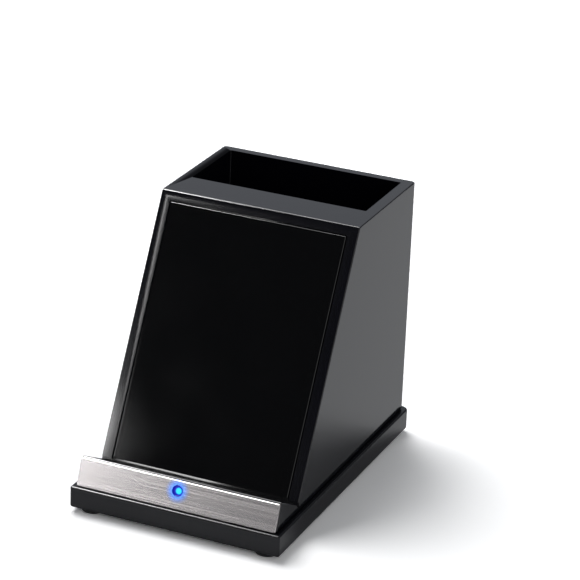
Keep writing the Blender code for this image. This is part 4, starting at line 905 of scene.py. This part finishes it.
crest = add(tree, "ShaderNodeMapRange", {
    "Value": wave.outputs[0], "From Min": -1.0, "From Max": 1.0, "To Min": THREAD_ROOT, "To Max": 1.0,
})
left = add(tree, "ShaderNodeMath", {0: given["Length"], 1: rise.outputs[0]}, operation="SUBTRACT")
end = add(tree, "ShaderNodeMapRange", {
    "Value": left.outputs[0], "From Min": 0.0, "From Max": given["Thread Pitch"],
    "To Min": SHANK_TIP, "To Max": 1.0,
})
girth = add(tree, "ShaderNodeMath", {
    0: crest.outputs["Result"], 1: end.outputs["Result"],
}, operation="MULTIPLY")
across = add(tree, "ShaderNodeMath", {0: axes.outputs["X"], 1: girth.outputs[0]}, operation="MULTIPLY")
deep = add(tree, "ShaderNodeMath", {0: axes.outputs["Y"], 1: girth.outputs[0]}, operation="MULTIPLY")
put = add(tree, "ShaderNodeCombineXYZ", {
    "X": across.outputs[0], "Y": deep.outputs[0], "Z": rise.outputs[0],
})
threaded = add(tree, "GeometryNodeSetPosition", {
    "Geometry": shank.outputs["Mesh"], "Position": put.outputs["Vector"],
})
whole = add(tree, "GeometryNodeJoinGeometry", {
    "Geometry": [recessed.outputs["Mesh"], threaded.outputs["Geometry"]],
})
leant = add(tree, "FunctionNodeEulerToRotation", {"Euler": given["Turn"]})
planted = add(tree, "GeometryNodeInstanceOnPoints", {
    "Points": given["Places"], "Instance": whole.outputs["Geometry"], "Rotation": leant.outputs["Rotation"],
})
end_tree(tree, planted.outputs["Instances"], given["Finish"])

# Zinc plate, clear passivated: grey-blue metal, half bright, cloudy where it was tumbled.
ZINC_CLOUD = 0.0009
zinc, leaf = start_finish("zinc_plated_steel")
tumbled = add(leaf, "ShaderNodeTexNoise", {
    "Vector": place_of(leaf, size=ZINC_CLOUD), "Scale": 1.0, "Detail": 3.0,
})
shine = add(leaf, "ShaderNodeMapRange", {"Value": tumbled.outputs["Fac"], "To Min": 0.24, "To Max": 0.42})
shade = add(leaf, "ShaderNodeMix", {
    "Factor": tumbled.outputs["Fac"], 6: linear("#a6a9ad"), 7: linear("#c6c9cc"),
}, data_type="RGBA")
shader = add(leaf, "ShaderNodeBsdfPrincipled", {
    "Base Color": shade.outputs[2], "Metallic": 1.0, "Roughness": shine.outputs["Result"],
})
add(leaf, "ShaderNodeOutputMaterial", {"Surface": shader.outputs["BSDF"]})

CORNERS = ("front_left", "front_right", "rear_left", "rear_right")
# The seats of the heads: their level, and how far aside and along, or up a slope, they lie.
HOUSING_SEAT, HOUSING_SPOTS = 0.0034, ((0.0270, -0.0530067), (0.0342, 0.0470067))
BOARD_SEAT, BOARD_ASIDE, BOARD_ALONG = 0.01107, 0.0268, (0.0304067, 0.0580067)
CARRIER_SEAT, CARRIER_ASIDE, CARRIER_UP = -0.0079, 0.0303, (0.0100, 0.0965635)
LAMP_SEAT, LAMP_ASIDE, LAMP_UP = -0.0054, 0.0065, 0.0033476


def on_slope(foot, turn, x, up, out):
    """A place measured up and out of a leaning face from its foot, in the object's own frame."""
    return tuple(foot + Euler(turn).to_matrix() @ Vector((x, up, out)))


# A group's name, its screws, their sizes, the way they point, and the middles of their heads' seats.
groups = (
    ("housing_screw", CORNERS, BIG, (0, 0, 0), [
        (side * x, y, HOUSING_SEAT) for x, y in HOUSING_SPOTS for side in (-1, 1)]),
    ("board_screw", CORNERS, SMALL, (0, 0, 0), [
        (side * BOARD_ASIDE, y, BOARD_SEAT) for y in BOARD_ALONG for side in (-1, 1)]),
    ("carrier_screw", ("lower_left", "lower_right", "upper_left", "upper_right"), SMALL, panel_turn, [
        on_slope(VALLEY, panel_turn, side * CARRIER_ASIDE, up, CARRIER_SEAT)
        for up in CARRIER_UP for side in (-1, 1)]),
    ("indicator_screw", ("left", "right"), SMALL, lip_turn, [
        on_slope(LIP_FOOT, lip_turn, side * LAMP_ASIDE, LAMP_UP, LAMP_SEAT) for side in (-1, 1)]),
)
for group, sides, sizes, turn, places in groups:
    made = grown(group + "s", tree, places, {**sizes, "Turn": turn, "Finish": zinc})
    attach(made, "root")
    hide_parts(*[f"{group}_{side}" for side in sides])

# Leads
# Thin stranded copper in black vinyl, loosely twisted: four wires from the coils and two from the
# lamp, each bundle pressed into its header on the main board and lying on the tray's ribs.
TWIST_PITCH = 0.016
LEAD_STEPS = 90
LEAD_SIDES = 16
tree, given = start_tree("twisted_leads", {
    "Wires": "Int", "Wire Radius": "Float", "Ring Radius": "Float", "Twist Pitch": "Float",
})
route = add(tree, "GeometryNodeMeshToCurve", {"Mesh": given["Places"]})
curved = add(tree, "GeometryNodeCurveSplineType", {
    "Curve": route.outputs["Curve"],
}, spline_type="CATMULL_ROM")
even = add(tree, "GeometryNodeResampleCurve", {"Curve": curved.outputs["Curve"], "Count": LEAD_STEPS})
along = add(tree, "GeometryNodeSplineParameter")
twists = add(tree, "ShaderNodeMath", {
    0: along.outputs["Length"], 1: given["Twist Pitch"],
}, operation="DIVIDE")
angle = add(tree, "ShaderNodeMath", {0: twists.outputs[0], 1: 2 * math.pi}, operation="MULTIPLY")
laid = add(tree, "GeometryNodeSetCurveTilt", {"Curve": even.outputs["Curve"], "Tilt": angle.outputs[0]})
order = add(tree, "GeometryNodeInputIndex")
share = add(tree, "ShaderNodeMath", {0: order.outputs["Index"], 1: given["Wires"]}, operation="DIVIDE")
bearing = add(tree, "ShaderNodeMath", {0: share.outputs[0], 1: 2 * math.pi}, operation="MULTIPLY")
aside = add(tree, "ShaderNodeMath", {0: bearing.outputs[0]}, operation="COSINE")
ahead = add(tree, "ShaderNodeMath", {0: bearing.outputs[0]}, operation="SINE")
heading = add(tree, "ShaderNodeCombineXYZ", {"X": aside.outputs[0], "Y": ahead.outputs[0]})
offset = add(tree, "ShaderNodeVectorMath", {
    0: heading.outputs["Vector"], "Scale": given["Ring Radius"],
}, operation="SCALE")
ring = add(tree, "GeometryNodePoints", {"Count": given["Wires"], "Position": offset.outputs["Vector"]})
wire = add(tree, "GeometryNodeCurvePrimitiveCircle", {
    "Resolution": LEAD_SIDES, "Radius": given["Wire Radius"],
})
spread = add(tree, "GeometryNodeInstanceOnPoints", {
    "Points": ring.outputs["Points"], "Instance": wire.outputs["Curve"],
})
solid = add(tree, "GeometryNodeRealizeInstances", {"Geometry": spread.outputs["Instances"]})
swept = add(tree, "GeometryNodeCurveToMesh", {
    "Curve": laid.outputs["Curve"], "Profile Curve": solid.outputs["Geometry"], "Fill Caps": True,
})
end_tree(tree, swept.outputs["Mesh"], given["Finish"])
# Vinyl insulation: black, soft sheen, faintly wavy where the strands press through.
vinyl = moulded("extruded_vinyl", "#101012", roughness=(0.38, 0.50), cloud=0.004, ripple=0.0008,
                ripple_height=0.000010)
# A bundle, its wires, their radius, the radius of the ring that they lie on, and the bundle's course.
leads = (
    ("coil_leads", 4, 0.00056, 0.00062, [
        (0.0132, -0.0329908, 0.0185543), (0.0132, -0.0276448, 0.0158304), (0.0132, -0.0094448, 0.01487),
        (0.0132, 0.0215067, 0.01487), (0.0132, 0.0272067, 0.01487)]),
    ("lamp_leads", 2, 0.00050, 0.00034, [
        (0.0, -0.0579321, 0.0113772), (0.0, -0.0549321, 0.0098772), (-0.00396, -0.0440249, 0.0079),
        (-0.01056, -0.0082591, 0.0079), (-0.0132, 0.0215067, 0.01487), (-0.0132, 0.0272067, 0.01487)]),
)
for node, wires, radius, ring_radius, course in leads:
    made = grown(node + "_twisted", tree, course, {
        "Wires": wires, "Wire Radius": radius, "Ring Radius": ring_radius, "Twist Pitch": TWIST_PITCH,
        "Finish": vinyl,
    }, joined=True, smooth_angle=ROUND_ANGLE)
    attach(made, "root")
    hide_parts(node)
